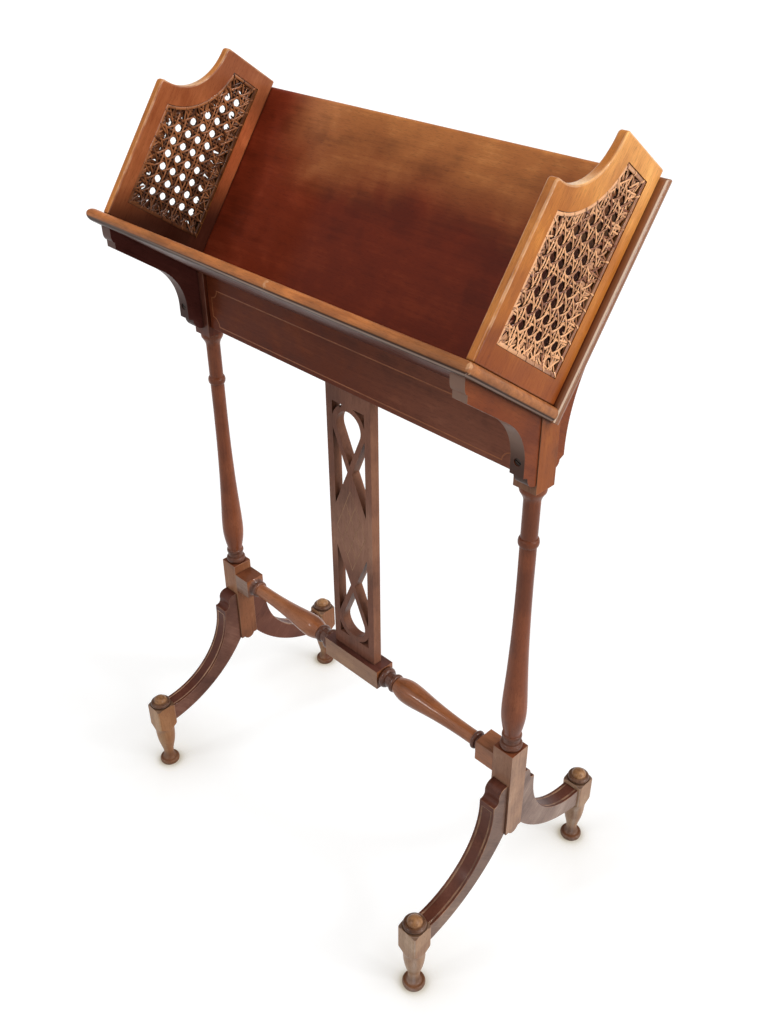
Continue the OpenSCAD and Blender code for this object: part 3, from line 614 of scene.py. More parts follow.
def cane_finish():
    """Split cane: each strand has a tone of its own and fine fibres. Painted shade darkens its sides and
    the inside near the foot of the panel, and with grime the crossings.
    """
    material, tree = new_material("cane")
    place = object_place(tree)
    tone, crown, outward = (
        add(tree, "Attribute", attribute_name=name).outputs["Fac"] for name in ("tone", "crown", "outward"))
    fibre = clouds(place, 380.0, 3.0, 0.5)
    stain = clouds(place, 60.0, 3.0)
    shade = ramp(calc("ADD", times(tone, 0.65), times(stain, 0.35)), 0.15, 0.65)
    outer = blended(shade, srgb(130, 68, 35), srgb(252, 186, 132))
    inner = blended(shade, srgb(78, 43, 25), srgb(176, 112, 70))
    # Painted shade on the inside toward the foot of the panel
    foot = span(from_corner(tree, UPWARD), 70, 25, 0.0, 0.6)
    inner = blended(foot, inner, srgb(58, 34, 23))
    colour = blended(outward, inner, outer)
    colour = blended(ramp(fibre, 0.52, 0.72, 0.0, 0.3), colour, srgb(86, 46, 26))
    # Painted shade on the sides of each strand
    colour = blended(ramp(crown, 0.1, 0.85, 0.9, 0.0), colour, srgb(40, 20, 11))
    # Painted shade, with grime, where strands cross
    hidden = add(tree, "AmbientOcclusion", {"Distance": 2.5 * MM}, samples=8).outputs["AO"]
    colour = blended(ramp(hidden, 0.2, 0.8, 0.9, 0.0), colour, srgb(28, 15, 10))
    rough = ramp(fibre, 0.3, 0.7, 0.28, 0.42)
    polish = times(crown, 0.7)
    finish_shader(colour, rough, bumped(fibre, 0.25, 0.25 * MM), 0.1, polish, 0.12)
    return material


def screw_finish():
    """Dark steel with rust in its pits."""
    material, tree = new_material("old_steel")
    place = object_place(tree)
    pits = clouds(place, 900.0, 3.0)
    colour = blended(ramp(pits, 0.45, 0.65), srgb(48, 45, 43), srgb(78, 56, 44))
    rough = ramp(pits, 0.3, 0.7, 0.4, 0.65)
    inputs = {"Base Color": colour, "Roughness": rough, "Metallic": 0.85,
              "Normal": bumped(pits, 0.3, 0.1 * MM)}
    linked("OutputMaterial", {"Surface": linked("BsdfPrincipled", inputs).outputs[0]})
    return material


# Meshes

MERGE = 0.02 * MM
FLAT = math.radians(0.4)
SHARP = math.radians(34)
ROUNDING_STEPS = 3
ROOM = 2.2


def new_piece(name, mesh, material):
    mesh.materials.clear()
    mesh.materials.append(material)
    piece = bpy.data.objects.new(name, mesh)
    bpy.context.scene.collection.objects.link(piece)
    return piece


def meshed(solid, name):
    """The mesh of a shape that is done with."""
    mesh = bpy.data.meshes.new(name)
    solid.to_mesh(mesh)
    solid.free()
    return mesh


def skin(solid, rings):
    """Faces from each ring of points to the next."""
    for first, second in zip(rings, rings[1:]):
        for i, vert in enumerate(first):
            j = (i + 1) % len(first)
            solid.faces.new((vert, first[j], second[j], second[i]))


def stand_in(piece, *nodes):
    """Puts a piece in the place of solids, with the slot that they had."""
    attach(piece, "root")
    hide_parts(*nodes)
    return piece


def room_beside(face, edge):
    """How far a face reaches away from one of its edges."""
    start = edge.verts[0].co
    along = (edge.verts[1].co - start).normalized()
    return max((v.co - start).cross(along).length for v in face.verts)


def is_arris(edge, radius):
    """True for a sharp outward edge whose two faces have room for that rounding."""
    if len(edge.link_faces) != 2 or edge.calc_face_angle_signed() < SHARP:
        return False
    return min(room_beside(face, edge) for face in edge.link_faces) >= ROOM * radius


def shade_smooth(solid):
    for face in solid.faces:
        face.smooth = True
    for edge in solid.edges:
        edge.smooth = len(edge.link_faces) == 2 and edge.calc_face_angle() < SHARP


def smooth_piece(solid, name, node, material):
    """A shape made here, smooth but for its sharp edges, in the place of a solid."""
    bmesh.ops.recalc_face_normals(solid, faces=solid.faces)
    shade_smooth(solid)
    return stand_in(new_piece(name, meshed(solid, name), material), node)


def dressed(node, radius, material):
    """A copy of a solid whose sharp outer edges are rounded over and marked for wear."""
    solid = bmesh.new()
    solid.from_mesh(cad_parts[node].data)
    bmesh.ops.remove_doubles(solid, verts=solid.verts, dist=MERGE)
    bmesh.ops.dissolve_limit(solid, angle_limit=FLAT, verts=solid.verts, edges=solid.edges)
    arris = solid.loops.layers.float.new("arris")
    edges = [edge for edge in solid.edges if is_arris(edge, radius)]
    made = bmesh.ops.bevel(
        solid, geom=edges, offset=radius, offset_type="OFFSET", segments=ROUNDING_STEPS, profile=0.5,
        affect="EDGES", clamp_overlap=True)
    for face in made["faces"]:
        for corner in face.loops:
            corner[arris] = 1.0
    shade_smooth(solid)
    mesh = meshed(solid, node + "_dressed")
    stale = mesh.attributes.get("custom_normal")
    if stale:
        mesh.attributes.remove(stale)
    piece = new_piece(node + "_dressed", mesh, material)
    weighted = piece.modifiers.new("flat_faces", "WEIGHTED_NORMAL")
    weighted.keep_sharp = True
    return stand_in(piece, node)


# The turned feet

FOOT_HALF = 13 * MM
FOOT_ARRIS = 3 * MM
FOOT_SOFT = 0.7 * MM
BUN_H = 7.5 * MM
BUN_R = 12.8 * MM
BUN_BASE_R = 10.6 * MM
BUN_STEP = 1 * MM
FLARE_H = 8 * MM
NECK_R = 6.6 * MM
VASE_LOW_Z = 24 * MM
VASE_LOW_R = 7.4 * MM
VASE_Z = 58 * MM
VASE_R = 12.2 * MM
BLOCK_Z = 72 * MM
FOOT_H = 103 * MM
SHOULDER_H = 6 * MM
SHOULDER_R = 14 * MM
VASE_STEP = 0.4 * MM
STEPS = 14


def bezier(a, b, c, d, u):
    return (1 - u) ** 3 * a + 3 * u * (1 - u) ** 2 * b + 3 * u * u * (1 - u) * c + u ** 3 * d


def swell(low, high, lead_low, lead_high):
    """A turned curve between two [height, radius] places that is upright at both ends."""
    run = high[0] - low[0]
    points = []
    for i in range(STEPS + 1):
        u = i / STEPS
        height = bezier(low[0], low[0] + lead_low * run, high[0] - lead_high * run, high[0], u)
        points.append((height, bezier(low[1], low[1], high[1], high[1], u)))
    return points


def bead(low, high, base_r, full_r):
    """A rounded moulding between two heights."""
    turns = [math.pi * i / STEPS for i in range(STEPS + 1)]
    middle = (low + high) / 2
    half = (high - low) / 2
    return [(middle - half * math.cos(a), base_r + (full_r - base_r) * math.sin(a)) for a in turns]


def foot_profile():
    corner_r = FOOT_HALF * math.sqrt(2) + 1 * MM
    block = [(BLOCK_Z + (FOOT_H - SHOULDER_H - BLOCK_Z) * i / 4, corner_r) for i in range(1, 4)]
    return (
        bead(0, BUN_H, BUN_BASE_R, BUN_R)
        + swell((BUN_H, BUN_BASE_R - BUN_STEP), (BUN_H + FLARE_H, NECK_R), 0, 1)
        + [(VASE_LOW_Z - VASE_STEP, NECK_R), (VASE_LOW_Z, NECK_R + VASE_STEP)]
        + swell((VASE_LOW_Z, VASE_LOW_R), (VASE_Z, VASE_R), 0.1, 0.6)
        + swell((VASE_Z, VASE_R), (BLOCK_Z, corner_r), 0.6, 0.1)[1:]
        + block
        + swell((FOOT_H - SHOULDER_H, corner_r), (FOOT_H, SHOULDER_R), 0.5, 0.1)
    )


def block_radius(angle):
    """From the axis to the side of the foot's square block, whose corners are rounded."""
    turn = abs((angle + math.pi / 4) % (math.pi / 2) - math.pi / 4)
    inset = FOOT_HALF - FOOT_ARRIS
    if math.tan(turn) <= inset / FOOT_HALF:
        return FOOT_HALF / math.cos(turn)
    return inset * (math.cos(turn) + math.sin(turn)) + math.sqrt(
        max(0.0, FOOT_ARRIS ** 2 - inset ** 2 * (1 - math.sin(2 * turn))))


def soft_least(a, b, blend):
    share = min(1.0, max(0.0, 0.5 + 0.5 * (b - a) / blend))
    return b + (a - b) * share - blend * share * (1 - share)


def foot_angles():
    """Angles round a foot, close together at the corners of its block."""
    near_corner = [-12, -9, -6.5, -4, -2, 0, 2, 4, 6.5, 9, 12]
    flat = [-29, -22, -15, -7.5, 0, 7.5, 15, 22, 29]
    degrees = sorted(90 * k + d for k in range(4) for d in flat + [45 + n for n in near_corner])
    return [math.radians(d) for d in degrees]


def foot_piece(node, material):
    """A foot turned from bun to shoulder, with its square block cut in one skin of rings."""
    low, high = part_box(node)
    centre = (low + high) / 2
    solid = bmesh.new()
    angles = foot_angles()
    rings = []
    for height, radius in foot_profile():
        ring = []
        for angle in angles:
            reach = soft_least(radius, block_radius(angle), FOOT_SOFT)
            ring.append(solid.verts.new((
                centre.x + reach * math.cos(angle), centre.y + reach * math.sin(angle), low.z + height)))
        rings.append(ring)
    skin(solid, rings)
    solid.faces.new(list(reversed(rings[0])))
    solid.faces.new(rings[-1])
    return smooth_piece(solid, node + "_dressed", node, material)


# The openings of the end panels

SCOOP_S = PANEL_DEPTH - PANEL_FRONT_FLAT
SCOOP_T = PANEL_BACK_H - PANEL_CORNER_R
SCOOP_A = SCOOP_S - PANEL_PEAK_FLAT
SCOOP_B = SCOOP_T - PANEL_FRONT_H
CURVE_STEPS = 40
FIRST_TIE = 0.4


def opening_sizes(grow):
    """Rail, low and top limits, and both radii of the scoop, of an opening grown by a margin."""
    a = SCOOP_A + PANEL_SCOOP_RAIL - grow
    b = SCOOP_B + PANEL_SCOOP_RAIL - grow
    return PANEL_RAIL - grow, PANEL_LOW_RAIL - grow, PANEL_BACK_H - PANEL_TOP_RAIL + grow, a, b


def is_open(s, t, grow):
    """True inside the opening of a panel, grown by a margin."""
    rail, low, top, a, b = opening_sizes(grow)
    in_box = rail <= s <= PANEL_DEPTH - rail and low <= t <= top
    return in_box and ((SCOOP_S - s) / a) ** 2 + ((SCOOP_T - t) / b) ** 2 >= 1


def opening_outline(grow):
    """Outline of a panel's opening as [s, t] places, grown by a margin."""
    rail, low, top, a, b = opening_sizes(grow)
    first = math.asin((SCOOP_S - PANEL_DEPTH + rail) / a)
    last = math.acos((SCOOP_T - top) / b)
    turns = [first + (last - first) * i / CURVE_STEPS for i in range(CURVE_STEPS + 1)]
    scoop = [(SCOOP_S - a * math.sin(turn), SCOOP_T - b * math.cos(turn)) for turn in turns]
    return [(rail, low), (PANEL_DEPTH - rail, low)] + scoop + [(rail, top)]


def tie_places(step):
    """Places round the opening, a step apart, each as a point on its inner and on its outer outline."""
    inner = opening_outline(-BINDING_LIP)
    outer = opening_outline(BINDING_LAP)
    spare = FIRST_TIE * step
    for i in range(len(inner)):
        j = (i + 1) % len(inner)
        a0, a1, b0, b1 = (Vector(p) for p in (inner[i], inner[j], outer[i], outer[j]))
        length = (a1 - a0).length
        while spare < length:
            share = spare / length
            yield a0.lerp(a1, share), b0.lerp(b1, share)
            spare += step
        spare -= length


# The woven cane

CANE_LAYERS = ("tone", "crown", "outward")
WEB_T = 0.5 * MM
STRAND_W = 2.1 * MM
DIAGONAL_W = 2.2 * MM
STRAND_T = 0.8 * MM
STRAND_SIDES = 4
STRAND_STEP = 1.7 * MM
STRAND_REACH = 360 * MM
SHORTEST_RUN = 4
END_TAPER = 0.6
END_SHARES = (0.2, 1.0, 1.0)
SWING_EDGE = 1.8
WANDER = 0.2
PAIR_GAP = 3.6 * MM
UPRIGHT_RISE = 0.7 * MM
UPRIGHT_SWING = 0.25 * MM
LEVEL_RISE = 0.3 * MM
LEVEL_SWING = 0.15 * MM
OVER_RISE = 0.7 * MM
OVER_SWING = 0.6 * MM
UNDER_RISE = 0.6 * MM
UNDER_SWING = 0.4 * MM
STRAY = 0.8 * MM
STRAY_RUN = 16 * MM
TUCK = 1.2 * MM
EDGE_RUN = 8 * MM
EDGE_RISE = 2.2 * MM
FAN_W = 2.2 * MM
FAN_LENGTH = 13 * MM
FAN_RISE = 0.6 * MM
FAN_TURN = math.radians(36)
FAN_STEPS = 7
# Fans along the rear of the opening are darker: painted shade
REAR_SHARE = 0.35
TAIL_W = 3.6 * MM
TAIL_STEP = 3 * MM
TAIL_T = 0.4 * MM
REAR_TAIL = 16 * MM
FRONT_TAIL = 11.5 * MM
LOW_TAIL = 11.5 * MM
TOP_TAIL = 8.5 * MM
TAIL_LEAST = 3
TAIL_TONE = 0.4
SQUARE_ON = 0.9
CANE_FACES = {"outer": 1, "inner": -1}


def add_layers(solid):
    """The values that the cane's finish reads at each point."""
    for layer in CANE_LAYERS:
        solid.verts.layers.float.new(layer)


def cane_point(solid, place, *values):
    """A new point of the cane at [x, s, t], with its tone, crown and outward values."""
    vert = solid.verts.new(in_trough(*place))
    for layer, value in zip(CANE_LAYERS, values):
        vert[solid.verts.layers.float[layer]] = value
    return vert


def sweep(solid, points, way, width, thickness, tone, side, face):
    """A strand with a domed section along [x, s, t] points that follow a way in the plane of the panel.

    Face is 1 where its dome looks out of the panel and -1 where it looks in.
    """
    rings = []
    for i, (x, s, t) in enumerate(points):
        ring = []
        taper = END_TAPER if i in (0, len(points) - 1) else 1.0
        for k in range(STRAND_SIDES + 1):
            angle = math.pi * k / STRAND_SIDES
            across = taper * width / 2 * math.cos(angle)
            out = side * face * taper * thickness * math.sin(angle)
            place = (x + out, s - across * way[1], t + across * way[0])
            ring.append(cane_point(solid, place, tone, math.sin(angle), max(0, face)))
        rings.append(ring)
    skin(solid, rings)
    solid.faces.new(rings[0])
    solid.faces.new(list(reversed(rings[-1])))


def swing(value, first):
    """1 where a strand meets the pairs midway between the holes, and -1 at the holes themselves."""
    turn = math.cos(2 * math.pi * (value - first + CANE_PITCH / 2) / CANE_PITCH)
    return math.tanh(SWING_EDGE * turn) / math.tanh(SWING_EDGE)


def strand_lines():
    """All strands on one face of a weave as start, direction, width and rise, in the plane of the panel."""
    columns = [CANE_FIRST_COLUMN + (i - 0.5) * CANE_PITCH for i in range(-2, 9)]
    rows = [CANE_FIRST_ROW + (j - 0.5) * CANE_PITCH for j in range(-2, 15)]
    for offset in (-PAIR_GAP / 2, PAIR_GAP / 2):
        for t in rows:
            yield (0, t + offset), (1, 0), STRAND_W, (
                lambda s, t: LEVEL_RISE - LEVEL_SWING * swing(s, CANE_FIRST_COLUMN))
        for s in columns:
            yield (s + offset, 0), (0, 1), STRAND_W, (
                lambda s, t: UPRIGHT_RISE + UPRIGHT_SWING * swing(t, CANE_FIRST_ROW))
    slant = math.sqrt(0.5)
    for k in range(-16, 16):
        t = CANE_FIRST_ROW - CANE_FIRST_COLUMN + (k + 0.5) * CANE_PITCH
        yield (0, t), (slant, slant), DIAGONAL_W, (
            lambda s, t: UNDER_RISE - UNDER_SWING * swing(s, CANE_FIRST_COLUMN))
    for k in range(0, 26):
        t = CANE_FIRST_ROW + CANE_FIRST_COLUMN + (k - 3.5) * CANE_PITCH
        yield (0, t), (slant, -slant), DIAGONAL_W, (
            lambda s, t: OVER_RISE + OVER_SWING * swing(s, CANE_FIRST_COLUMN))


def open_runs(start, direction):
    """The stretches of a line that lie inside the opening, as lists of distances along it."""
    run = []
    for i in range(int(STRAND_REACH / STRAND_STEP)):
        along = i * STRAND_STEP
        if is_open(start[0] + along * direction[0], start[1] + along * direction[1], TUCK):
            run.append(along)
        elif run:
            yield run
            run = []


def fade(share):
    """1 at nothing, and smoothly down to 0 at one."""
    share = min(1.0, max(0.0, share))
    return 1 - share * share * (3 - 2 * share)


def woven_strands(solid, side, face, draw):
    """The six-way pattern on one face, whose strands rise to the frame or go under where they meet it."""
    for start, direction, width, rise in strand_lines():
        lateral = (-direction[1], direction[0])
        for run in open_runs(start, direction):
            if len(run) < SHORTEST_RUN:
                continue
            phase = draw.uniform(0, 100)
            first_end, last_end = (EDGE_RISE * draw.choice(END_SHARES) for _ in range(2))
            points = []
            for along in run:
                stray = STRAY * noise.noise(Vector((phase, along / STRAY_RUN, 0.0)))
                s = start[0] + along * direction[0] + stray * lateral[0]
                t = start[1] + along * direction[1] + stray * lateral[1]
                first = fade((along - run[0]) / EDGE_RUN)
                last = fade((run[-1] - along) / EDGE_RUN)
                out = rise(s, t) * (1 - first) * (1 - last) + first_end * first + last_end * last
                points.append((side * (PANEL_X + face * out), s, t))
            width *= draw.uniform(0.9, 1.1)
            sweep(solid, points, direction, width, STRAND_T, draw.random(), side, face)


def edge_fans(solid, side, face, draw):
    """Short strands that spread from the frame into the weave along its border."""
    for inner, outer in tie_places(CANE_PITCH):
        apex = inner.lerp(outer, 0.5)
        inward = (inner - outer).normalized()
        for turn in (-FAN_TURN, 0.0, FAN_TURN):
            way = Matrix.Rotation(turn + draw.uniform(-WANDER, WANDER), 2) @ inward
            length = FAN_LENGTH * draw.uniform(0.8, 1.1)
            points = []
            for k in range(FAN_STEPS):
                share = k / (FAN_STEPS - 1)
                place = apex + share * length * way
                if not is_open(place[0], place[1], BINDING_LAP):
                    break
                out = FAN_RISE + (EDGE_RISE - FAN_RISE) * fade(share)
                points.append((side * (PANEL_X + face * out), place[0], place[1]))
            if len(points) >= SHORTEST_RUN:
                tone = draw.random() * (REAR_SHARE if inward[0] > SQUARE_ON else 1.0)
                sweep(solid, points, way, FAN_W, STRAND_T, tone, side, face)


def tail_length(inward):
    """How far the tails reach in from the side of the opening that they start at."""
    if inward[0] > SQUARE_ON:
        return REAR_TAIL
    if inward[0] < -SQUARE_ON:
        return FRONT_TAIL
    return LOW_TAIL if inward[1] > SQUARE_ON else TOP_TAIL


def strand_tails(solid, side, draw):
    """Ends of strands laid side by side round the opening, which close the holes along its border."""
    for inner, outer in tie_places(TAIL_STEP):
        inward = (inner - outer).normalized()
        length = tail_length(inward) * draw.uniform(0.9, 1.1)
        way = Matrix.Rotation(draw.uniform(-WANDER, WANDER), 2) @ inward
        places = [inner + length * k / (FAN_STEPS - 1) * way for k in range(FAN_STEPS)]
        points = [(side * PANEL_X, s, t) for s, t in places if is_open(s, t, 0)]
        if len(points) >= TAIL_LEAST:
            for face in (-1, 1):
                tone = TAIL_TONE * draw.random()
                sweep(solid, points, way, TAIL_W, TAIL_T, tone, side, face)


def dark_web(name, side):
    """The pierced plate of the solids, thinned, as a dark sheet of painted shade deep inside a weave."""
    solid = bmesh.new()
    solid.from_mesh(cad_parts[f"cane_{name}"].data)
    low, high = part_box(f"cane_{name}")
    add_layers(solid)
    for vert in solid.verts:
        vert.co.x = side * PANEL_X + (vert.co.x - side * PANEL_X) * WEB_T / (high.x - low.x)
    return solid


def weave_piece(name, material):
    """Six-way hand caning: upright and level pairs with two sets of diagonals over and under them."""
    side = SIDES[name]
    draw = random.Random(SEED + side)
    solid = dark_web(name, side)
    web_faces = len(solid.faces)
    for face in (-1, 1):
        woven_strands(solid, side, face, draw)
        edge_fans(solid, side, face, draw)
    strand_tails(solid, side, draw)
    bmesh.ops.recalc_face_normals(solid, faces=solid.faces)
    for i, face in enumerate(solid.faces):
        face.smooth = i >= web_faces
    mesh = meshed(solid, f"weave_{name}")
    return stand_in(new_piece(f"weave_{name}", mesh, material), f"cane_{name}")


# The binding strips

STRIP_SIDES = 9
STRIP_MIDDLE = (BINDING_LAP - BINDING_LIP) / 2
STRIP_HALF = (BINDING_LAP + BINDING_LIP) / 2
STRIP_EDGE = 0.25 * MM
STRIP_CROWN = 1.0 * MM
STRIP_TONE = (0.3, 0.95)
# Painted shade along the rear of the opening
REAR_TONE = 0.15
STAIN_RUN = 18 * MM
TIE_W = 2.0 * MM
TIE_T = 0.5 * MM
TIE_REACH = 0.7 * MM
TIE_STEPS = 9
TIE_DIP = 0.9


def strip_height(share):
    """Height of the strip's crown above its seat, for a place from -1 to 1 across it."""
    return STRIP_EDGE + (STRIP_CROWN - STRIP_EDGE) * math.sqrt(max(0.0, 1 - share * share))


def strip_rows(seat, outward):
    """Rows of [x, s, t] places along a strip: over its crown, then back along its seat."""
    rows = []
    for k in range(STRIP_SIDES):
        share = -math.cos(math.pi * k / (STRIP_SIDES - 1))
        x = seat + outward * strip_height(share)
        rows.append([(x, s, t) for s, t in opening_outline(STRIP_MIDDLE + share * STRIP_HALF)])
    for edge in (STRIP_HALF, -STRIP_HALF):
        rows.append([(seat, s, t) for s, t in opening_outline(STRIP_MIDDLE + edge)])
    return rows


def strip_tone(side, s, t):
    """Tone of a strip, which is patchy, and dark along the rear as painted shade."""
    if s <= PANEL_RAIL + BINDING_LIP:
        return REAR_TONE
    share = 0.5 + noise.noise(Vector((SEED * side, s / STAIN_RUN, t / STAIN_RUN)))
    return STRIP_TONE[0] + (STRIP_TONE[1] - STRIP_TONE[0]) * min(1.0, max(0.0, share))


def strip_ties(solid, seat, side, face, draw):
    """A loop over the strip at each hole of the frame."""
    for inner, outer in tie_places(CANE_PITCH):
        out = (outer - inner).normalized()
        tone = draw.random()
        points = []
        for k in range(TIE_STEPS):
            share = -1 + 2 * k / (TIE_STEPS - 1)
            place = inner.lerp(outer, 0.5 + 0.5 * share * (1 + TIE_REACH / STRIP_HALF * (share < 0)))
            height = strip_height(share) - TIE_T * TIE_DIP * share ** 4
            points.append((seat + side * face * height, place[0], place[1]))
        sweep(solid, points, out, TIE_W, TIE_T, tone, side, face)


def binding_piece(name, face_name, material):
    """A crowned strip round the cane, tied down with a loop at each hole of the frame."""
    side = SIDES[name]
    face = CANE_FACES[face_name]
    outward = side * face
    seat = side * PANEL_X + outward * (PANEL_T / 2 - BINDING_DEPTH)
    solid = bmesh.new()
    add_layers(solid)
    rows = []
    for places in strip_rows(seat, outward):
        rows.append([])
        for place in places:
            tone = strip_tone(side, *place[1:])
            rows[-1].append(cane_point(solid, place, tone, 1.0, max(0, face)))
    skin(solid, rows + rows[:1])
    strip_ties(solid, seat, side, face, random.Random(SEED + 10 * side + outward))
    return smooth_piece(solid, f"strip_{face_name}_{name}", f"binding_{face_name}_{name}", material)


# The bracket screws

SLOT_W = 1.0 * MM
SLOT_DEPTH = 0.9 * MM
SLOT_TURN = math.radians(24)
SCREW_ARRIS = 0.15 * MM


def screw_piece(node, material):
    """A countersunk screw with a slot cut across its head."""
    low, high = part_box(node)
    piece = dressed(node, SCREW_ARRIS, material)
    cutter = bmesh.new()
    length = 2 * (high.x - low.x)
    place = Matrix.Translation(((low.x + high.x) / 2, low.y, (low.z + high.z) / 2))
    shape = Matrix.Rotation(SLOT_TURN, 4, "Y") @ Matrix.Diagonal((length, 2 * SLOT_DEPTH, SLOT_W, 1))
    bmesh.ops.create_cube(cutter, size=1, matrix=place @ shape)
    tool = new_piece("slot", meshed(cutter, "slot"), material)
    slot = piece.modifiers.new("slot", "BOOLEAN")
    slot.operation = "DIFFERENCE"
    slot.object = tool
    bpy.context.view_layer.update()
    cut = bpy.data.meshes.new_from_object(piece.evaluated_get(bpy.context.evaluated_depsgraph_get()))
    piece.modifiers.clear()
    piece.data = cut
    bpy.data.objects.remove(tool)
    return piece


# Finishes and pieces

BOARD_ARRIS = 0.5 * MM
APRON_ARRIS = 0.6 * MM
RAIL_ARRIS = 0.8 * MM
SPLAT_ARRIS = 0.45 * MM
PANEL_ARRIS = 1.8 * MM
STOCK_ARRIS = 0.9 * MM
BUTTON_ARRIS = 0.3 * MM
LEG_TONES = {
    "left": ((78, 38, 27), (92, 48, 35), (106, 59, 45)),
    "right": ((80, 43, 32), (94, 53, 40), (110, 65, 50)),
}
# Tones of the legs' right faces, greyed by a painted sheen
LEG_SIDE = {
    ("front", "left"): (116, 75, 60),
    ("rear", "left"): (110, 66, 51),
    ("front", "right"): (120, 94, 80),
    ("rear", "right"): (146, 122, 110),
}
FOOT_TONES = ((134, 86, 54), (154, 104, 68), (170, 120, 82))
# Tones of the feet's front and right faces: a painted sheen
FOOT_FRONT = {"left": (181, 138, 102), "right": (182, 148, 120)}
FOOT_SIDE = {
    ("front", "left"): (152, 102, 66),
    ("rear", "left"): (138, 90, 62),
    ("front", "right"): (164, 128, 100),
    ("rear", "right"): (164, 128, 100),
}
BUTTON_TONES = ((132, 90, 56), (162, 116, 76), (184, 140, 98))


def inlaid(node, material):
    """Gives a line of stringing, which stays as the solid that it is, its finish."""
    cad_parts[node].material_slots[0].material = material


def middle_pieces():
    """The boards of the trough, and what runs between the posts."""
    shelf_wood = wood("shelf_wood", ((88, 36, 23), (104, 42, 26), (120, 50, 31)), ALONG_X, 1, (),
                      shelf_marks, coat=SHELF_COAT, gloss=shelf_gloss)
    back_wood = wood("back_wood", ((98, 33, 14), (114, 40, 18), (128, 49, 24)), ALONG_X, 2, (), back_marks,
                     wear_and_highlight=0.1, roughness=0.4, specular=0.06, coat=0.08, grime_and_shade=0.4, gloss=back_gloss)
    apron_wood = wood("apron_wood", ((90, 40, 22), (106, 49, 28), (120, 59, 35)), ALONG_X, 5, (),
                      apron_marks, wear_and_highlight=0.1, specular=0.05, coat=0.05)
    rail_wood = wood("rail_wood", ((126, 72, 40), (152, 90, 54), (170, 106, 66)), ALONG_X, 8, (),
                     stretcher_marks, coat=0.5, specular=0.1)
    splat_wood = wood("splat_wood", ((106, 67, 52), (125, 81, 64), (140, 94, 75)), ALONG_Z, 9,
                      ((ALONG_X, (134, 89, 67)),), splat_marks, wear_and_highlight=0.1, specular=0.08, coat=0.08)
    dressed("shelf_board", BOARD_ARRIS, shelf_wood)
    dressed("back_board", BOARD_ARRIS, back_wood)
    dressed("apron", APRON_ARRIS, apron_wood)
    dressed("stretcher", RAIL_ARRIS, rail_wood)
    dressed("splat", SPLAT_ARRIS, splat_wood)
    inlaid("apron_stringing", inlay("apron_stringing", (148, 86, 54), (172, 106, 70)))
    inlaid("splat_stringing", inlay("splat_stringing", (150, 108, 82), (172, 128, 98)))


def leg_pieces(end, name):
    """A leg with its foot and button."""
    seed = 20 + 3 * SIDES[name] + FACES[end]
    slope = Vector((0, 1, FACES[end]))
    leg_tints = ((ALONG_X, LEG_SIDE[end, name]),)
    foot_tints = ((FRONT, FOOT_FRONT[name]), (ALONG_X, FOOT_SIDE[end, name]))
    leg_wood = wood(f"leg_wood_{end}_{name}", LEG_TONES[name], slope, seed, leg_tints,
                    wear_and_highlight=0.45, specular=0.1, coat=0.12)
    foot_wood = wood(f"foot_wood_{end}_{name}", FOOT_TONES, ALONG_Z, seed + 10, foot_tints, foot_marks,
                     specular=0.1, coat=0.18, grime_and_shade=0.3)
    button_wood = wood(f"button_wood_{end}_{name}", BUTTON_TONES, ALONG_Z, seed + 20, (), button_marks,
                       roughness=0.34, coat=0.3)
    dressed(f"leg_{end}_{name}", STOCK_ARRIS, leg_wood)
    foot_piece(f"foot_{end}_{name}", foot_wood)
    dressed(f"foot_button_{end}_{name}", BUTTON_ARRIS, button_wood)
    inlaid(f"leg_stringing_{end}_{name}", leg_inlay[name])


def side_pieces(name):
    """An end panel with its cane, and the post, brackets and legs under it."""
    dressed(f"end_panel_{name}", PANEL_ARRIS, panel_finish(name))
    dressed(f"post_{name}", STOCK_ARRIS, post_finish(name))
    weave_piece(name, cane)
    for face_name in CANE_FACES:
        binding_piece(name, face_name, cane)
    bracket_wood = bracket_finish(name)
    for end in FACES:
        dressed(f"bracket_{end}_{name}", STOCK_ARRIS, bracket_wood)
    screw_piece(f"bracket_screw_{name}", steel)
    for end in FACES:
        leg_pieces(end, name)


cane = cane_finish()
steel = screw_finish()
leg_inlay = {
    "left": inlay("leg_stringing_left", (160, 116, 92), (206, 164, 134)),
    "right": inlay("leg_stringing_right", (112, 76, 60), (166, 128, 102)),
}
middle_pieces()
for side_name in SIDES:
    side_pieces(side_name)


# Floor, light and camera

FLOOR_HALF = 40.0
FLOOR_LIT = (0.34, 0.335, 0.32, 1)
FLOOR_SEEN = (0.5, 0.51, 0.53, 1)
GLOW_NEAR = (0.28, 0.23, 0.14, 1)
GLOW_FAR = (0.64, 0.63, 0.61, 1)
CONTACT_REACH = 110 * MM
CAMERA_PLACE = Vector((0.67784, -0.61886, 1.0600))
CAMERA_YAW = 0.7959
CAMERA_PITCH = 0.5907
CAMERA_ROLL = -0.0084
FOCAL_PIXELS = 1033.04
IMAGE_HEIGHT = 1024
SENSOR = 36.0


def seen_paths(tree):
    """1 for rays from the camera, a mirror or a clear piece, 0 for light that spreads."""
    paths = add(tree, "LightPath").outputs
    shown = calc("MAXIMUM", paths["Is Camera Ray"], paths["Is Glossy Ray"])
    return calc("MAXIMUM", shown, paths["Is Transmission Ray"])


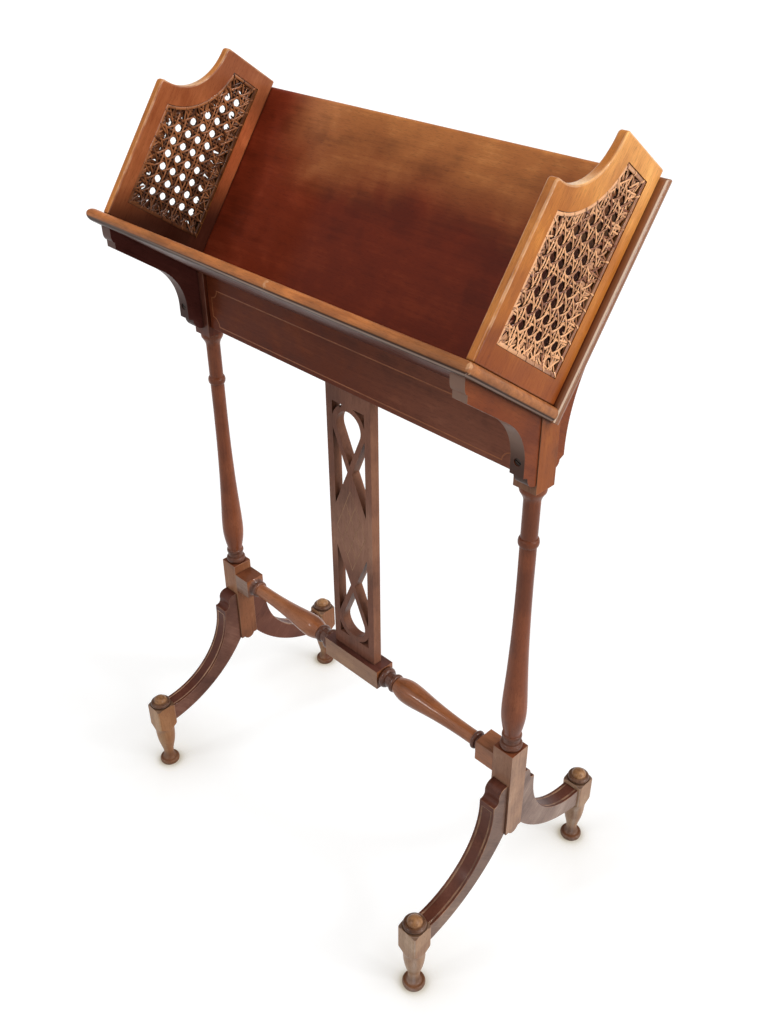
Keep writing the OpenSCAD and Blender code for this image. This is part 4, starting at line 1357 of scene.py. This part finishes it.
def make_floor():
    """A matt floor that glows to the camera, so that it is white away from the feet; near them the glow
    dims as a painted contact shadow.
    """
    mesh = bpy.data.meshes.new("floor")
    corners = [(x * FLOOR_HALF, y * FLOOR_HALF, 0) for x, y in ((-1, -1), (1, -1), (1, 1), (-1, 1))]
    mesh.from_pydata(corners, [], [(0, 1, 2, 3)])
    material, tree = new_material("pale_floor")
    seen = seen_paths(tree)
    matt = linked("BsdfDiffuse", {"Color": blended(seen, FLOOR_LIT, FLOOR_SEEN)})
    # Painted contact shadow: the glow dims close to the stand
    near = add(tree, "AmbientOcclusion", {"Distance": CONTACT_REACH}, samples=16).outputs["AO"]
    glow = blended(ramp(near, 0.62, 0.99), GLOW_NEAR, GLOW_FAR)
    lift = linked("Emission", {"Color": glow, "Strength": seen})
    both = linked("AddShader", {0: matt.outputs[0], 1: lift.outputs[0]})
    linked("OutputMaterial", {"Surface": both.outputs[0]})
    new_piece("floor", mesh, material)


def make_world():
    """A plain studio, white to the camera: a white low wall, darker walls above it and a pale ceiling."""
    world = bpy.data.worlds.new("studio")
    bpy.context.scene.world = world
    world.use_nodes = True
    tree = world.node_tree
    tree.nodes.clear()
    height = linked("SeparateXYZ", {0: add(tree, "TexCoord").outputs["Generated"]}).outputs["Z"]
    wall = ramp(height, 0.24, 0.36, 1.0, 0.22)
    ceiling = ramp(height, 0.5, 0.66, 0.0, 0.25)
    level = calc("ADD", wall, ceiling)
    level = times(level, ramp(seen_paths(tree), 0.0, 1.0, 0.5, 1.0))
    level = calc("MAXIMUM", level, add(tree, "LightPath").outputs["Is Camera Ray"])
    background = linked("Background", {"Color": (1, 1, 1, 1), "Strength": level})
    linked("OutputWorld", {"Surface": background.outputs[0]})


def make_sun(name, azimuth, height, strength, spread):
    """A lamp from a direction, in degrees round from +X and up from the floor."""
    lamp = bpy.data.lights.new(name, "SUN")
    lamp.energy = strength
    lamp.angle = math.radians(spread)
    sun = bpy.data.objects.new(name, lamp)
    turn, rise = math.radians(azimuth), math.radians(height)
    source = Vector((math.cos(turn) * math.cos(rise), math.sin(turn) * math.cos(rise), math.sin(rise)))
    sun.rotation_euler = source.to_track_quat("Z", "Y").to_euler()
    bpy.context.scene.collection.objects.link(sun)


def make_camera():
    ahead = Vector((
        -math.sin(CAMERA_YAW) * math.cos(CAMERA_PITCH),
        math.cos(CAMERA_YAW) * math.cos(CAMERA_PITCH),
        -math.sin(CAMERA_PITCH)))
    level = Vector((math.cos(CAMERA_YAW), math.sin(CAMERA_YAW), 0))
    upright = level.cross(ahead)
    right = math.cos(CAMERA_ROLL) * level + math.sin(CAMERA_ROLL) * upright
    up = math.cos(CAMERA_ROLL) * upright - math.sin(CAMERA_ROLL) * level
    camera = bpy.data.cameras.new("camera")
    camera.sensor_width = SENSOR
    camera.lens = SENSOR * FOCAL_PIXELS / IMAGE_HEIGHT
    camera.clip_end = 3 * FLOOR_HALF
    holder = bpy.data.objects.new("camera", camera)
    place = Matrix((right, up, -ahead)).transposed().to_4x4()
    place.translation = CAMERA_PLACE
    holder.matrix_world = place
    bpy.context.scene.collection.objects.link(holder)
    bpy.context.scene.camera = holder


make_floor()
make_world()
make_sun("right_wall", 22, 40, 1.75, 70)
make_sun("front_wall", -112, 40, 0.7, 70)
make_sun("right_window", 10, 5, 0.6, 14)
make_sun("right_lamp", 22, 40, 0.45, 8)
make_sun("front_lamp", -112, 40, 0.35, 8)
make_camera()
bpy.context.scene.view_settings.view_transform = "Standard"
